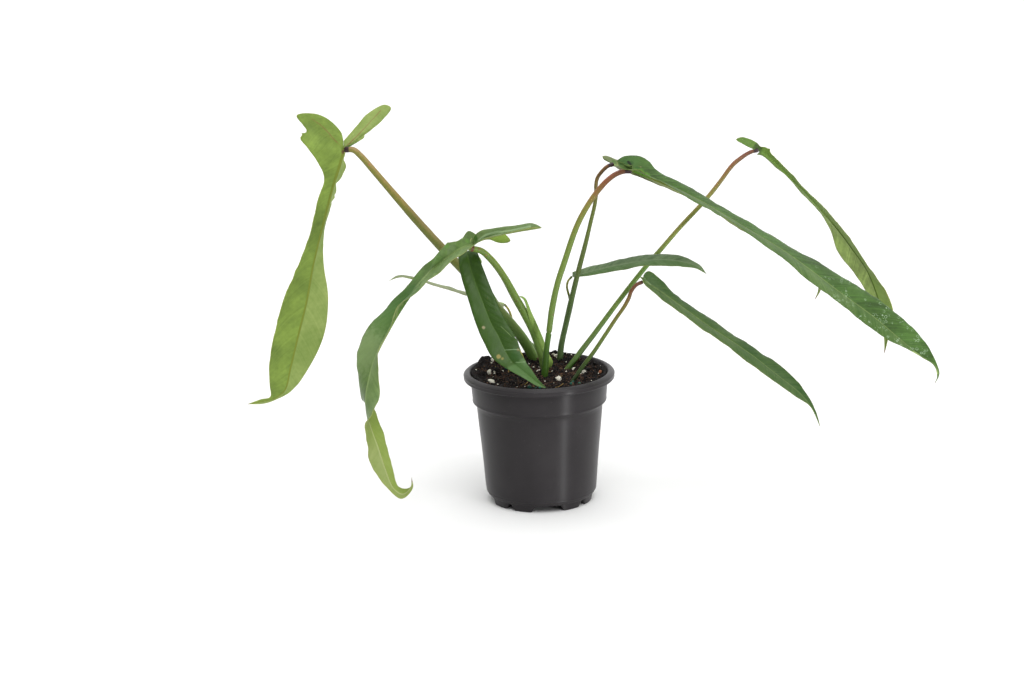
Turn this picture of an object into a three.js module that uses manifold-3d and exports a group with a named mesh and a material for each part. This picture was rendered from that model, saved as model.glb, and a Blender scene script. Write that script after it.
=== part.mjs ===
// A potted Philodendron joepii: nine leaves on long stalks, rising from peat soil in a nursery pot.
// Millimetres, +Z up. The origin is the centre of the pot's underside, on the surface it stands on.
import * as THREE from 'three';
import { mergeVertices } from 'three/addons/utils/BufferGeometryUtils.js';
import Module from 'manifold-3d';

const wasm = await Module();
wasm.setup();

// Driving dimensions of the pot
const potHeight = 104.6;
const rimRadius = 60;
const rimDepth = 6.1;
const collarTopRadius = 53.8;
const collarBottomRadius = 51.2;
const collarHeight = 20;
const bodyTopRadius = 49.4;
const bodyBottomRadius = 43;
const wall = 1.4;
const footHeight = 6.4;
const footRadius = 40;
const footWidth = 3.4;
const footGapHeight = 4.2;
const hubRadius = 15;
const drainRadius = 4;
const drainCircle = 28;
const drainSides = 12;
const wideGap = 28;
const narrowGap = 9;
const gapTurn = 3.5;
const potSides = 40;
const collarTop = potHeight - rimDepth;
const collarBottom = collarTop - collarHeight;

// Driving dimensions of the soil and what lies in it
const seatGap = 0.3;
const soilEdge = 97.6;
const soilCrown = 3.6;
const mound = { x: -37, y: 25, height: 6.2, spread: 14 };
const soilRings = 7;
const soilSides = 30;
const crumbCount = 12;
const crumbSize = 1.9;
const grainSink = 0.4;
const surfaceNoise = 1.4;

// Driving dimensions of the leaves
const bladeThickness = 0.8;
const ribHeight = 1.1;
const ribShare = 0.16;
const acrossSteps = [ribShare, 0.6, 1];
const tipFade = 6;
const ruffleStart = 1.5;
const ruffleOffset = 2;
const earDensity = 1.25;
const stalkSides = 7;
const stalkDepth = 18;
const stalkLean = 0.95;
const wellDepth = 4;

const colours = {
  pot: 0x3a3a3c,
  soil: 0x35261f,
  paleLeaf: 0x8aa84f,
  midLeaf: 0x4f7d3a,
  darkLeaf: 0x3a6430,
  greenStalk: 0x5c8a3c,
  oliveStalk: 0x8a8248,
  redStalk: 0x7a5a3c,
  cataphyll: 0x9cbf5a,
};

// Blades. Every row of numbers is [x, y, z]. The midrib runs from the stalk to the tip. Each edge has one
// point for every midrib point but the tip, and an ear adds the edge points behind the stalk. Left and
// right are as seen on the upper face with the tip up. A ruffle is [height, waves].
const blades = {
  a: {
    colour: colours.paleLeaf, rows: 40, arch: 0.07, ruffle: [1.5, 13],
    midrib: [
      [-152, 60, 275.5], [-156, 62, 262], [-162, 65, 245], [-167, 68, 228], [-173, 72, 208],
      [-181, 77, 180], [-189, 83, 145], [-197, 87, 117], [-205, 90, 88], [-211, 91, 68],
      [-221, 92, 61], [-230, 92, 59], [-242.5, 91, 57],
    ],
    leftEar: [
      [-152, 59, 283], [-153, 57, 291], [-164, 51, 303], [-175, 46, 309], [-187, 42, 307],
      [-180, 46, 294], [-185, 44, 289],
    ],
    leftEdge: [
      [-180.5, 46, 280.5], [-175, 51, 268], [-168, 60, 253], [-174, 63, 233], [-180, 65, 212],
      [-191, 68, 188], [-207, 71, 154], [-214, 76, 124], [-222, 81, 92], [-222, 86, 74],
      [-222.5, 90, 62.5], [-231, 91, 61],
    ],
    rightEar: [
      [-151, 62, 282], [-142, 66, 293], [-133, 71, 302], [-119, 77, 308], [-114, 80, 305],
      [-121, 77, 297], [-133, 70, 287], [-141, 65, 282],
    ],
    rightEdge: [
      [-149.5, 62, 274], [-151, 70, 260], [-158, 74, 242], [-164, 77, 227], [-173, 82, 205],
      [-175, 85, 180], [-172, 91, 147], [-177, 94, 114], [-192, 96, 84], [-204, 95, 67],
      [-220.5, 93, 58.5], [-229.5, 93, 57.5],
    ],
  },
  b: {
    colour: colours.midLeaf, rows: 42, arch: 0.05, ruffle: [1.1, 11],
    midrib: [
      [-49.5, -8, 210.5], [-59, -15, 210], [-71, -23, 203], [-83, -32, 195], [-93, -41, 186],
      [-104, -52, 173], [-115, -63, 157], [-125, -74, 140], [-130, -82, 126], [-133, -89, 113],
      [-133, -94, 101], [-130, -98, 90], [-125, -101, 76], [-120, -103, 59], [-113.5, -105, 43],
      [-106.5, -106, 39], [-100.5, -106, 44.5], [-99.5, -105, 52],
    ],
    leftEar: [
      [-51, -10, 214], [-46, -13, 221], [-32, -18, 225], [-17, -23, 229], [-3, -27, 231],
      [4, -29, 228], [-8, -26, 226], [-23, -21, 223], [-37, -15, 218],
    ],
    leftEdge: [
      [-47.5, -11, 212], [-56, -23, 208], [-67, -32, 202], [-80, -41, 194], [-91, -51, 186],
      [-107, -66, 176], [-113, -73, 161], [-123, -83, 143], [-123, -88, 127], [-123, -95, 113],
      [-127, -105, 104], [-132, -110, 97], [-130, -110, 80], [-129, -108, 64], [-117, -108, 43.5],
      [-107.5, -108, 36.5], [-99, -106, 43.5],
    ],
    rightEar: [
      [-47, -5, 211], [-36, 0, 212], [-29, 5, 209], [-20, 9, 209], [-25, 7, 215], [-34, 4, 217],
      [-43, 1, 216],
    ],
    rightEdge: [
      [-52.5, -1, 220], [-61, -10, 215], [-72, -17, 211], [-85, -27, 201], [-99, -35, 189],
      [-116, -45, 172], [-133, -54, 155], [-140, -64, 138], [-139, -71, 124], [-137, -76, 108],
      [-128, -81, 100], [-124, -88, 89], [-118, -94, 74], [-115, -97, 57], [-110.5, -101, 44],
      [-106, -104, 42.5], [-101, -105, 45],
    ],
  },
  c: {
    colour: colours.darkLeaf, rows: 18, arch: 0.05, ruffle: [0, 1],
    midrib: [
      [-54, 24, 191], [-55, 12, 201], [-51, 2, 186], [-45, -8, 166], [-38, -17, 148], [-28, -27, 132],
      [-19, -36, 120], [-7, -45, 110.5], [4, -50, 105],
    ],
    leftEar: [
      [-53, 25, 188], [-47, 27, 185], [-45, 28, 188],
    ],
    leftEdge: [
      [-46, 24, 194], [-47, 10, 201], [-41, -2, 188], [-34, -12, 168], [-26, -21, 152],
      [-18, -31, 135], [-10, -39, 122], [-1.5, -45, 113],
    ],
    rightEar: [
      [-56, 25, 188], [-59, 27, 184], [-61, 27, 188],
    ],
    rightEdge: [
      [-62, 23, 194], [-62, 9, 198], [-60, -2, 185], [-54, -12, 167], [-48, -21, 147], [-38, -31, 129],
      [-28, -39, 121], [-12.5, -46, 111.5],
    ],
  },
  d: {
    colour: colours.midLeaf, rows: 28, arch: 0.06, ruffle: [0.4, 7],
    midrib: [
      [76, 0, 265], [89, -3, 258], [109, -8, 249], [130, -13, 240], [158, -20, 223], [188, -27, 205],
      [209, -32, 190], [234, -38, 171], [259, -43, 152], [280, -47, 134], [296, -50, 123],
      [305.5, -51, 111.5], [306.5, -52, 102],
    ],
    leftEar: [
      [76, 3, 270], [72, 4, 272], [67, 5, 274], [67, 8, 275], [74, 11, 275], [81, 12, 274],
    ],
    leftEdge: [
      [89, 11, 270], [95, 6, 264], [115, 1, 253], [135, -2, 242], [164, -7, 224], [195, -12, 207],
      [216, -16, 195], [242, -23, 181], [269, -30, 161], [290, -38, 144], [303, -46, 127],
      [308, -50, 111.5],
    ],
    rightEar: [
      [76, -1, 268], [71, -2, 272], [66, -3, 274], [63, -4, 273], [68, -8, 269], [75, -10, 268],
    ],
    rightEdge: [
      [82, -10, 267], [87, -12, 263], [107, -19, 251], [127, -25, 240], [154, -33, 224],
      [182, -40, 207], [201, -45, 192], [224, -50, 173], [248, -52, 152], [269, -53, 138],
      [290, -53, 127], [303, -52, 112.5],
    ],
  },
  e: {
    colour: colours.darkLeaf, rows: 20, arch: 0.06, ruffle: [0, 1],
    midrib: [
      [62, 14, 267], [79, 19, 263.5], [105, 25, 249], [133, 30, 233], [167, 35, 210], [195, 38, 193],
      [215, 40, 178], [225.5, 41, 166], [226.5, 41, 156], [223.5, 40, 148],
    ],
    leftEar: [
      [61, 15, 268], [57, 17, 270], [53, 19, 273], [58, 21, 273],
    ],
    leftEdge: [
      [64, 21, 269], [80.5, 25, 264.5], [107, 33, 249], [135, 39, 233], [169, 44, 211], [198, 46, 193],
      [220, 46, 178], [228.5, 44, 166], [228.5, 42, 156],
    ],
    rightEar: [
      [61, 13, 267], [62, 10, 267],
    ],
    rightEdge: [
      [65, 8, 266], [77, 13, 261.5], [103, 17, 249], [131, 21, 233], [164, 26, 211], [192, 30, 192],
      [211, 34, 177], [222, 38, 166], [225, 40, 156],
    ],
  },
  f: {
    colour: colours.paleLeaf, rows: 28, arch: 0.06, ruffle: [0.4, 6],
    midrib: [
      [181, 60, 266.5], [191, 62, 256], [203, 65, 244], [218, 68, 230], [232, 72, 215], [246, 75, 198],
      [259, 78, 180], [271, 81, 162], [280, 84, 140], [286, 86, 120], [288.5, 87, 102.5], [287, 87, 89],
    ],
    leftEar: [
      [181, 62, 265], [179, 64, 263],
    ],
    leftEdge: [
      [183.5, 66, 262], [193, 70, 256], [205, 74, 244], [218, 77, 228], [231, 82, 212], [242, 85, 194],
      [247, 87, 176], [261, 89, 160], [274, 90, 137], [283, 90, 116], [287.5, 89, 101],
    ],
    rightEar: [
      [177, 58, 268], [169, 55, 273], [164, 53, 276], [162, 53, 278], [166, 55, 280], [172, 58, 277],
      [178, 60, 274], [182, 61, 271],
    ],
    rightEdge: [
      [186.5, 58, 269], [192, 57, 261], [206, 59, 248], [221, 60, 232], [235, 63, 216], [249, 66, 199],
      [262, 69, 180], [274, 73, 161], [287, 78, 141], [294, 82, 120], [290, 85, 102.5],
    ],
  },
  g: {
    colour: colours.midLeaf, rows: 18, arch: 0.06, ruffle: [0, 1],
    midrib: [
      [28.5, 28, 175], [38.5, 26, 178], [54.5, 23, 182.5], [70, 20, 186], [86, 17, 189],
      [101.5, 14, 190], [115.5, 11, 188.5], [126.5, 9, 185], [134, 8, 179],
    ],
    leftEar: [],
    leftEdge: [
      [29, 29, 176.5], [38, 29, 180], [53, 28, 185], [70, 26, 189], [88, 23, 192], [103.5, 20, 193],
      [118, 15, 190.5], [128.5, 11, 185],
    ],
    rightEar: [],
    rightEdge: [
      [29.5, 27, 174.5], [39, 23, 175.5], [55, 18, 180], [70, 14, 183], [84, 11, 186],
      [100.5, 9, 186.5], [114.5, 7, 185.5], [125, 7, 184],
    ],
  },
  h: {
    colour: colours.midLeaf, rows: 20, arch: 0.06, ruffle: [0, 1],
    midrib: [
      [83.5, -8, 178], [92, -10, 173], [104, -14, 165], [118, -18, 155], [132, -22, 145],
      [146, -26, 136], [164, -31, 124], [187, -37, 106], [203, -41, 93], [212, -43, 81.5],
      [218.5, -45, 66.5],
    ],
    leftEar: [
      [83, -7, 180], [83, -5, 183], [87, -3, 185],
    ],
    leftEdge: [
      [90.5, -2, 183.5], [98, -4, 177], [109, -7, 166], [123, -10, 156], [136, -14, 148],
      [150, -18, 139], [169, -23, 125], [191, -31, 110], [206.5, -38, 93], [214, -42, 79],
    ],
    rightEar: [
      [82, -10, 179], [81, -10, 182], [81, -12, 179],
    ],
    rightEdge: [
      [84.5, -13, 176.5], [89, -16, 173], [101, -21, 164], [114, -26, 155], [127, -30, 145],
      [141, -34, 135], [159, -39, 123], [180, -43, 106], [199, -44, 93], [210.5, -44, 83.5],
    ],
  },
  i: {
    colour: colours.midLeaf, rows: 10, arch: 0.06, ruffle: [0, 1],
    midrib: [
      [-26.5, 54, 147.5], [-38, 56, 150], [-54, 59, 154.5], [-70.5, 62, 159], [-86.5, 65, 163.5],
      [-101, 68, 166.5], [-112.5, 70, 168], [-120, 71, 164.5],
    ],
    leftEar: [],
    leftEdge: [
      [-26.5, 52, 146.5], [-38, 51, 149.5], [-54, 53, 154], [-70, 56, 159], [-86.5, 60, 163],
      [-101, 64, 166.5], [-112.5, 68, 167.5],
    ],
    rightEar: [],
    rightEdge: [
      [-27, 56, 148], [-38.5, 61, 150], [-55, 65, 154.5], [-71, 68, 159], [-87, 70, 163],
      [-101.5, 72, 166.5], [-113, 72, 168.5],
    ],
  },
};

// Stalks, from the soil's surface to the blade. Radii run evenly from the foot to the top.
const stalks = {
  a: {
    colour: colours.oliveStalk, steps: 20, radii: [3.8, 5.2, 4.4, 3.7, 3.5, 3.2, 3, 2.8, 2.6, 2.2, 1.3],
    route: [
      [-4, 34, 103], [-17, 36, 126], [-30, 38, 146], [-46, 41, 164], [-61, 43, 181], [-77, 46, 199],
      [-94, 49, 219], [-112, 52, 241], [-127, 55, 260], [-138, 56, 271], [-144, 56.5, 275],
      [-150.2, 58.2, 275.5],
    ],
  },
  b: {
    colour: colours.greenStalk, steps: 16, radii: [5, 4.6, 3.8, 3.4, 3.3, 3, 2.6, 1.6],
    route: [
      [7, 22, 101], [5, 21, 111], [-6, 15, 136], [-19, 8, 166], [-24, 4, 179], [-30, 0, 190],
      [-36, -3, 198], [-42, -6, 204], [-47.7, -7.3, 208],
    ],
  },
  c: {
    colour: colours.greenStalk, steps: 14, radii: [2.4, 2.2, 2, 1.8, 1.2],
    route: [
      [6, 42, 105], [-8, 45, 117], [-20, 47.5, 131], [-30, 49, 145], [-38, 48, 159], [-44, 45, 172],
      [-50, 36, 182], [-54, 26.3, 187],
    ],
  },
  d: {
    colour: colours.greenStalk, steps: 24,
    radii: [1.5, 1.5, 1.5, 1.5, 2.4, 2.4, 2.3, 2.3, 2.2, 2.2, 2.1, 2, 1.2],
    route: [
      [5, -1, 101], [6, 0, 122], [7, 1, 136], [11, 2, 155], [15, 2, 176], [21, 3, 193], [30, 3, 216],
      [35, 3, 228], [42, 2, 240], [48, 2, 249], [56, 1, 257], [63, 0.5, 262], [69, 0, 263],
      [74.4, 0, 263],
    ],
  },
  e: {
    colour: colours.greenStalk, steps: 22, radii: [2.7, 2.5, 2.2, 2, 1.8, 1.6, 1.5, 1],
    route: [
      [17, 34, 104], [19, 32, 117], [24, 29, 137], [29, 25, 163], [34, 22, 183], [39, 19, 204],
      [43, 17, 220], [46, 15, 235], [48, 14, 244], [48, 13, 251], [49, 13, 257], [53, 12, 263],
      [57, 12, 266], [60.5, 12.5, 265.5],
    ],
  },
  f: {
    colour: colours.redStalk, steps: 24, radii: [2.8, 2.6, 2.4, 2.2, 2, 1.8, 1.8, 1.7, 1],
    route: [
      [24, 26, 101], [45, 31, 126], [67, 36, 151], [87, 41, 176], [100, 44, 192], [117, 47, 208],
      [133, 50, 223], [141, 52, 234], [151, 54, 246], [156, 55, 253], [160, 56, 258], [165, 57, 261],
      [170, 58, 264], [175, 58.5, 265], [179.4, 58.8, 265.3],
    ],
  },
  g: {
    colour: colours.greenStalk, steps: 14, radii: [1.4, 1.2, 1.1, 1, 0.8],
    route: [
      [14, 43, 104.5], [20, 41, 121], [23, 37, 137], [25, 34, 150], [25, 32, 157], [24, 30, 166],
      [25, 29, 171], [27.8, 28, 174.5],
    ],
  },
  h: {
    colour: colours.greenStalk, steps: 16, radii: [2.1, 2, 1.8, 1.6, 1.4, 0.9],
    route: [
      [27, -18, 102], [34, -16, 112], [43, -15, 123], [52, -13, 134], [60, -11, 149], [68, -10, 159],
      [72, -9, 165], [74, -8.5, 170], [78, -8.5, 175], [82.4, -8.3, 176.9],
    ],
  },
  i: {
    colour: colours.oliveStalk, steps: 12, radii: [1.4, 1.2, 1.1, 1, 0.8],
    route: [
      [-4, 47, 102], [-9, 50, 116], [-14, 52, 125], [-19, 53.5, 133], [-20, 54, 139], [-22.5, 54, 144],
      [-25.8, 54, 146.7],
    ],
  },
};

// The sheath that clasps the foot of stalk d, and the loose cataphyll beside stalk b.
const sheath = { outer: 2.9, bore: 1.9, firstStep: 1, lastStep: 6 };
const cataphyll = {
  colour: colours.cataphyll, rows: 11, arch: 0.2, ruffle: [0, 1],
  midrib: [
    [15, 19.5, 94], [13.8, 18.5, 105], [10.5, 17.5, 117], [5, 15, 131], [-1, 12, 142], [-5, 10, 151],
    [-8.5, 8.6, 158], [-12, 7, 161.5], [-14.5, 4, 163],
  ],
  leftEar: [],
  leftEdge: [
    [13.5, 16.5, 94], [12.8, 15, 105], [10, 14, 117], [4.8, 12.5, 131], [-1, 10.5, 142.5],
    [-5, 9, 151.5], [-8.5, 7.9, 158.7], [-12, 6.5, 162.1],
  ],
  rightEar: [],
  rightEdge: [
    [16, 23, 94], [14.8, 23, 105], [11.5, 21.5, 117], [6, 18, 131], [-0.5, 14, 142], [-4.7, 11.3, 150.7],
    [-8.2, 9.4, 157.5], [-12, 7.6, 160.8],
  ],
};

// Grains that show on the soil: [x, y, radius] for white perlite and for green prills.
const perlite = [
  [-41, 9, 2.4], [-39, -14, 2], [-37, 32, 2], [-35, 15, 1.5], [-29, 18, 1.4], [14.5, -4, 2.6],
  [30, 25, 2.5], [37, 12, 2.2], [-3, 20, 1.8], [30, 41, 1.5], [15, -34, 1.6], [43, -12, 1.7],
  [-20, -33, 1.8], [-14, 44, 1.6],
];
const prills = [
  [-35, 22, 1.5], [-27, 25, 1.5], [-9, -35, 1.8], [-3, -38, 1.6], [24, -24, 1.5], [31, -24, 1.6],
  [-22, -18, 1.5],
];

// Seeded draw, the same on every run
function seeded(seed) {
  let state = seed;
  return () => {
    state = (state * 16807) % 2147483647;
    return state / 2147483647;
  };
}

const vector = ([x, y, z]) => new THREE.Vector3(x, y, z);
const radians = THREE.MathUtils.degToRad;

// A named mesh with its own finish
function part(name, geometry, color, roughness) {
  const mesh = new THREE.Mesh(geometry, new THREE.MeshStandardMaterial({ color, roughness }));
  mesh.name = name;
  return mesh;
}

function toSolid(geometry) {
  const plain = geometry.clone();
  plain.deleteAttribute('normal');
  plain.deleteAttribute('uv');
  const merged = mergeVertices(plain, 1e-4);
  return new wasm.Manifold(new wasm.Mesh({
    numProp: 3,
    vertProperties: Float32Array.from(merged.attributes.position.array),
    triVerts: Uint32Array.from(merged.index.array),
  }));
}

function toGeometry(solid) {
  const { vertProperties, triVerts } = solid.getMesh();
  return meshGeometry(vertProperties, triVerts);
}

function meshGeometry(positions, index) {
  const geometry = new THREE.BufferGeometry();
  geometry.setAttribute('position', new THREE.Float32BufferAttribute(Array.from(positions), 3));
  geometry.setIndex(Array.from(index));
  geometry.computeVertexNormals();
  return geometry;
}

// Value of an evenly spaced list at a share from 0 to 1
function along(list, share) {
  const place = share * (list.length - 1);
  const low = Math.min(Math.floor(place), list.length - 2);
  return THREE.MathUtils.lerp(list[low], list[low + 1], place - low);
}

// Round bar along a route, from one of its steps to another, with flat ends
function bar(route, radii, steps, extra = 0, first = 0, last = steps) {
  const curve = new THREE.CatmullRomCurve3(route.map(vector), false, 'centripetal');
  const frames = curve.computeFrenetFrames(steps, false);
  const positions = [];
  const index = [];
  for (let step = first; step <= last; step += 1) {
    const centre = curve.getPointAt(step / steps);
    const radius = along(radii, step / steps) + extra;
    for (let side = 0; side < stalkSides; side += 1) {
      const angle = (side / stalkSides) * 2 * Math.PI;
      const point = centre.clone()
        .addScaledVector(frames.normals[step], radius * Math.cos(angle))
        .addScaledVector(frames.binormals[step], radius * Math.sin(angle));
      positions.push(point.x, point.y, point.z);
    }
  }
  const count = last - first;
  for (let step = 0; step < count; step += 1) {
    for (let side = 0; side < stalkSides; side += 1) {
      const here = step * stalkSides + side;
      const next = step * stalkSides + ((side + 1) % stalkSides);
      index.push(here, next, here + stalkSides);
      index.push(next, next + stalkSides, here + stalkSides);
    }
  }
  const end = count * stalkSides;
  for (let side = 1; side < stalkSides - 1; side += 1) {
    index.push(0, side + 1, side);
    index.push(end, end + side, end + side + 1);
  }
  return meshGeometry(positions, index);
}

// A stalk's route, carried on down into the soil and a little inwards
function buried(route) {
  const [x, y, z] = route[0];
  return [[x * stalkLean, y * stalkLean, z - stalkDepth], ...route];
}

// The room that a stalk takes in the soil, with the gap round it and under it
function stalkHole({ route, radii, steps }) {
  const [[x, y, z], ...rest] = buried(route);
  const radius = radii[0] + 2 * seatGap;
  const well = new THREE.CylinderGeometry(radius, radius, wellDepth, stalkSides);
  well.rotateX(Math.PI / 2);
  well.translate(x, y, z + wellDepth / 4);
  return toSolid(bar([[x, y, z], ...rest], radii, steps, seatGap)).add(toSolid(well));
}

// One half of a blade: rows of points from the midrib out to the edge, behind the stalk first
function halfRows(blade, side, midCurve) {
  const sign = side === 'left' ? 1 : -1;
  const ear = blade[`${side}Ear`];
  const stations = blade.midrib.length - 1;
  const tip = blade.midrib[stations];
  const edgePoints = [...ear, ...blade[`${side}Edge`], tip].map(vector);
  const edgeCurve = new THREE.CatmullRomCurve3(edgePoints, false, 'centripetal');
  const lastPoint = edgePoints.length - 1;
  const rows = [];
  const earRows = Math.ceil(ear.length * earDensity);
  for (let row = -earRows; row <= blade.rows; row += 1) {
    const station = row < 0 ? (row / earRows) * ear.length : (row / blade.rows) * stations;
    const share = Math.max(station, 0) / stations;
    const foot = midCurve.getPoint(share);
    const edge = edgeCurve.getPoint((station + ear.length) / lastPoint);
    const reach = edge.clone().sub(foot);
    const normal = midCurve.getTangent(share).cross(reach).multiplyScalar(sign).normalize();
    const fade = THREE.MathUtils.smoothstep(station, 0, ruffleStart) * (1 - share ** tipFade);
    const [height, waves] = blade.ruffle;
    const wave = height * Math.sin(share * waves * 2 * Math.PI + (side === 'left' ? 0 : ruffleOffset));
    const width = reach.length();
    rows.push({
      middle: Math.max(row, 0),
      points: acrossSteps.map((across) => foot.clone()
        .addScaledVector(reach, across)
        .addScaledVector(normal, fade * width * blade.arch * 4 * across * (1 - across))
        .addScaledVector(normal, fade * wave * across ** 3)),
    });
  }
  return rows;
}

// Middle surface of a blade: triangles of both halves, which share the midrib's points
function bladeSurface(blade) {
  const midCurve = new THREE.CatmullRomCurve3(blade.midrib.map(vector), false, 'centripetal');
  const points = [];
  const thicker = [];
  for (let row = 0; row <= blade.rows; row += 1) {
    points.push(midCurve.getPoint(row / blade.rows));
    thicker.push(ribHeight * (1 - row / blade.rows));
  }
  const triangles = [];
  const addTriangle = (a, b, c) => {
    if (a !== b && b !== c && a !== c) triangles.push([a, b, c]);
  };
  for (const side of ['left', 'right']) {
    const grid = halfRows(blade, side, midCurve).map(({ middle, points: rowPoints }) => {
      if (middle === blade.rows) return Array(acrossSteps.length + 1).fill(middle);
      const made = rowPoints.map((point) => {
        points.push(point);
        thicker.push(0);
        return points.length - 1;
      });
      return [middle, ...made];
    });
    for (let row = 0; row < grid.length - 1; row += 1) {
      for (let column = 0; column < acrossSteps.length; column += 1) {
        const near = grid[row][column];
        const far = grid[row][column + 1];
        const nearNext = grid[row + 1][column];
        const farNext = grid[row + 1][column + 1];
        if (side === 'left') {
          addTriangle(near, farNext, far);
          addTriangle(near, nearNext, farNext);
        } else {
          addTriangle(near, far, farNext);
          addTriangle(near, farNext, nearNext);
        }
      }
    }
  }
  return { points, thicker, triangles };
}

// Closed thin solid round a surface: both faces have the same triangles, and a strip joins their rims
function thicken({ points, thicker, triangles }) {
  const normals = points.map(() => new THREE.Vector3());
  for (const [a, b, c] of triangles) {
    const normal = points[b].clone().sub(points[a]).cross(points[c].clone().sub(points[a]));
    for (const corner of [a, b, c]) normals[corner].add(normal);
  }
  const positions = [];
  for (const face of [1, -1]) {
    points.forEach((point, corner) => {
      const below = face < 0 ? thicker[corner] : 0;
      const moved = point.clone()
        .addScaledVector(normals[corner].clone().normalize(), face * (bladeThickness / 2 + below));
      positions.push(moved.x, moved.y, moved.z);
    });
  }
  const under = points.length;
  const index = [];
  const edges = new Set(triangles.flatMap(([a, b, c]) => [`${a} ${b}`, `${b} ${c}`, `${c} ${a}`]));
  for (const [a, b, c] of triangles) {
    index.push(a, b, c);
    index.push(under + a, under + c, under + b);
    for (const [from, to] of [[a, b], [b, c], [c, a]]) {
      if (!edges.has(`${to} ${from}`)) {
        index.push(from, under + from, to);
        index.push(to, under + from, under + to);
      }
    }
  }
  return meshGeometry(positions, index);
}

// The pot: a lathe-turned shell, then drain holes and the gaps between its feet
function pot() {
  const underside = footHeight - 1.5;
  const outer = [
    [0, 0], [hubRadius, 0], [hubRadius - 1, underside], [footRadius - footWidth - 0.6, underside],
    [footRadius - footWidth, 0], [footRadius - 0.5, 0], [footRadius + 0.2, footHeight],
    [bodyBottomRadius - 1, footHeight + 0.6], [bodyBottomRadius, footHeight + 2.6],
    [bodyTopRadius, collarBottom - 4.2], [bodyTopRadius + 0.5, collarBottom - 2.4],
    [collarBottomRadius, collarBottom], [collarTopRadius, collarTop],
    [rimRadius - 0.8, collarTop], [rimRadius, collarTop + 0.9], [rimRadius, potHeight - 1.7],
    [rimRadius - 0.8, potHeight - 0.4], [rimRadius - 2, potHeight],
  ];
  const inner = [
    [rimRadius - 4.6, potHeight], [rimRadius - 5.2, potHeight - 0.6],
    [collarTopRadius - wall, collarTop - 1], [collarBottomRadius - wall, collarBottom + 0.6],
    [bodyTopRadius - wall, collarBottom - 4], [bodyBottomRadius - wall, footHeight + 3.2],
    [bodyBottomRadius - wall - 1.4, footHeight + 0.4], [0, footHeight + 0.4],
  ];
  const profile = [...outer, ...inner].map(([radius, z]) => new THREE.Vector2(radius, z));
  const shell = new THREE.LatheGeometry(profile, potSides);
  shell.rotateX(Math.PI / 2);
  let solid = toSolid(shell);
  for (let quarter = 0; quarter < 4; quarter += 1) {
    const wideCentre = -90 + gapTurn + quarter * 90;
    solid = solid.subtract(footGap(wideCentre, wideGap));
    solid = solid.subtract(footGap(wideCentre + 45, narrowGap));
    const angle = radians(wideCentre + 45);
    const drain = new THREE.CylinderGeometry(drainRadius, drainRadius, 2 * footHeight, drainSides);
    drain.rotateX(Math.PI / 2);
    drain.translate(drainCircle * Math.cos(angle), drainCircle * Math.sin(angle), footHeight);
    solid = solid.subtract(toSolid(drain));
  }
  return toGeometry(solid);
}

// Wedge that cuts one gap in the foot ring
function footGap(centre, width) {
  const near = footRadius - footWidth - 3;
  const far = footRadius + 6;
  const wedge = new THREE.Shape([
    [near, -width / 2], [far, -width / 2], [far, 0], [far, width / 2], [near, width / 2], [near, 0],
  ].map(([radius, turn]) => new THREE.Vector2(
    radius * Math.cos(radians(centre + turn)),
    radius * Math.sin(radians(centre + turn)),
  )));
  const cutter = new THREE.ExtrudeGeometry(wedge, { depth: footGapHeight + 2, bevelEnabled: false });
  cutter.translate(0, 0, -2);
  return toSolid(cutter);
}

// Height of the soil's surface: a low crown, a heap at the back left, and small lumps
function soilHeight(x, y) {
  const radius = Math.hypot(x, y);
  const crown = soilCrown * (1 - (radius / collarTopRadius) ** 2);
  const heap = mound.height * Math.exp(-((x - mound.x) ** 2 + (y - mound.y) ** 2) / mound.spread ** 2);
  const lumps = 0.5 * Math.sin(x * 0.31 + y * 0.12) + 0.5 * Math.cos(y * 0.37 - x * 0.17);
  return soilEdge + crown + heap + lumps;
}

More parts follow.
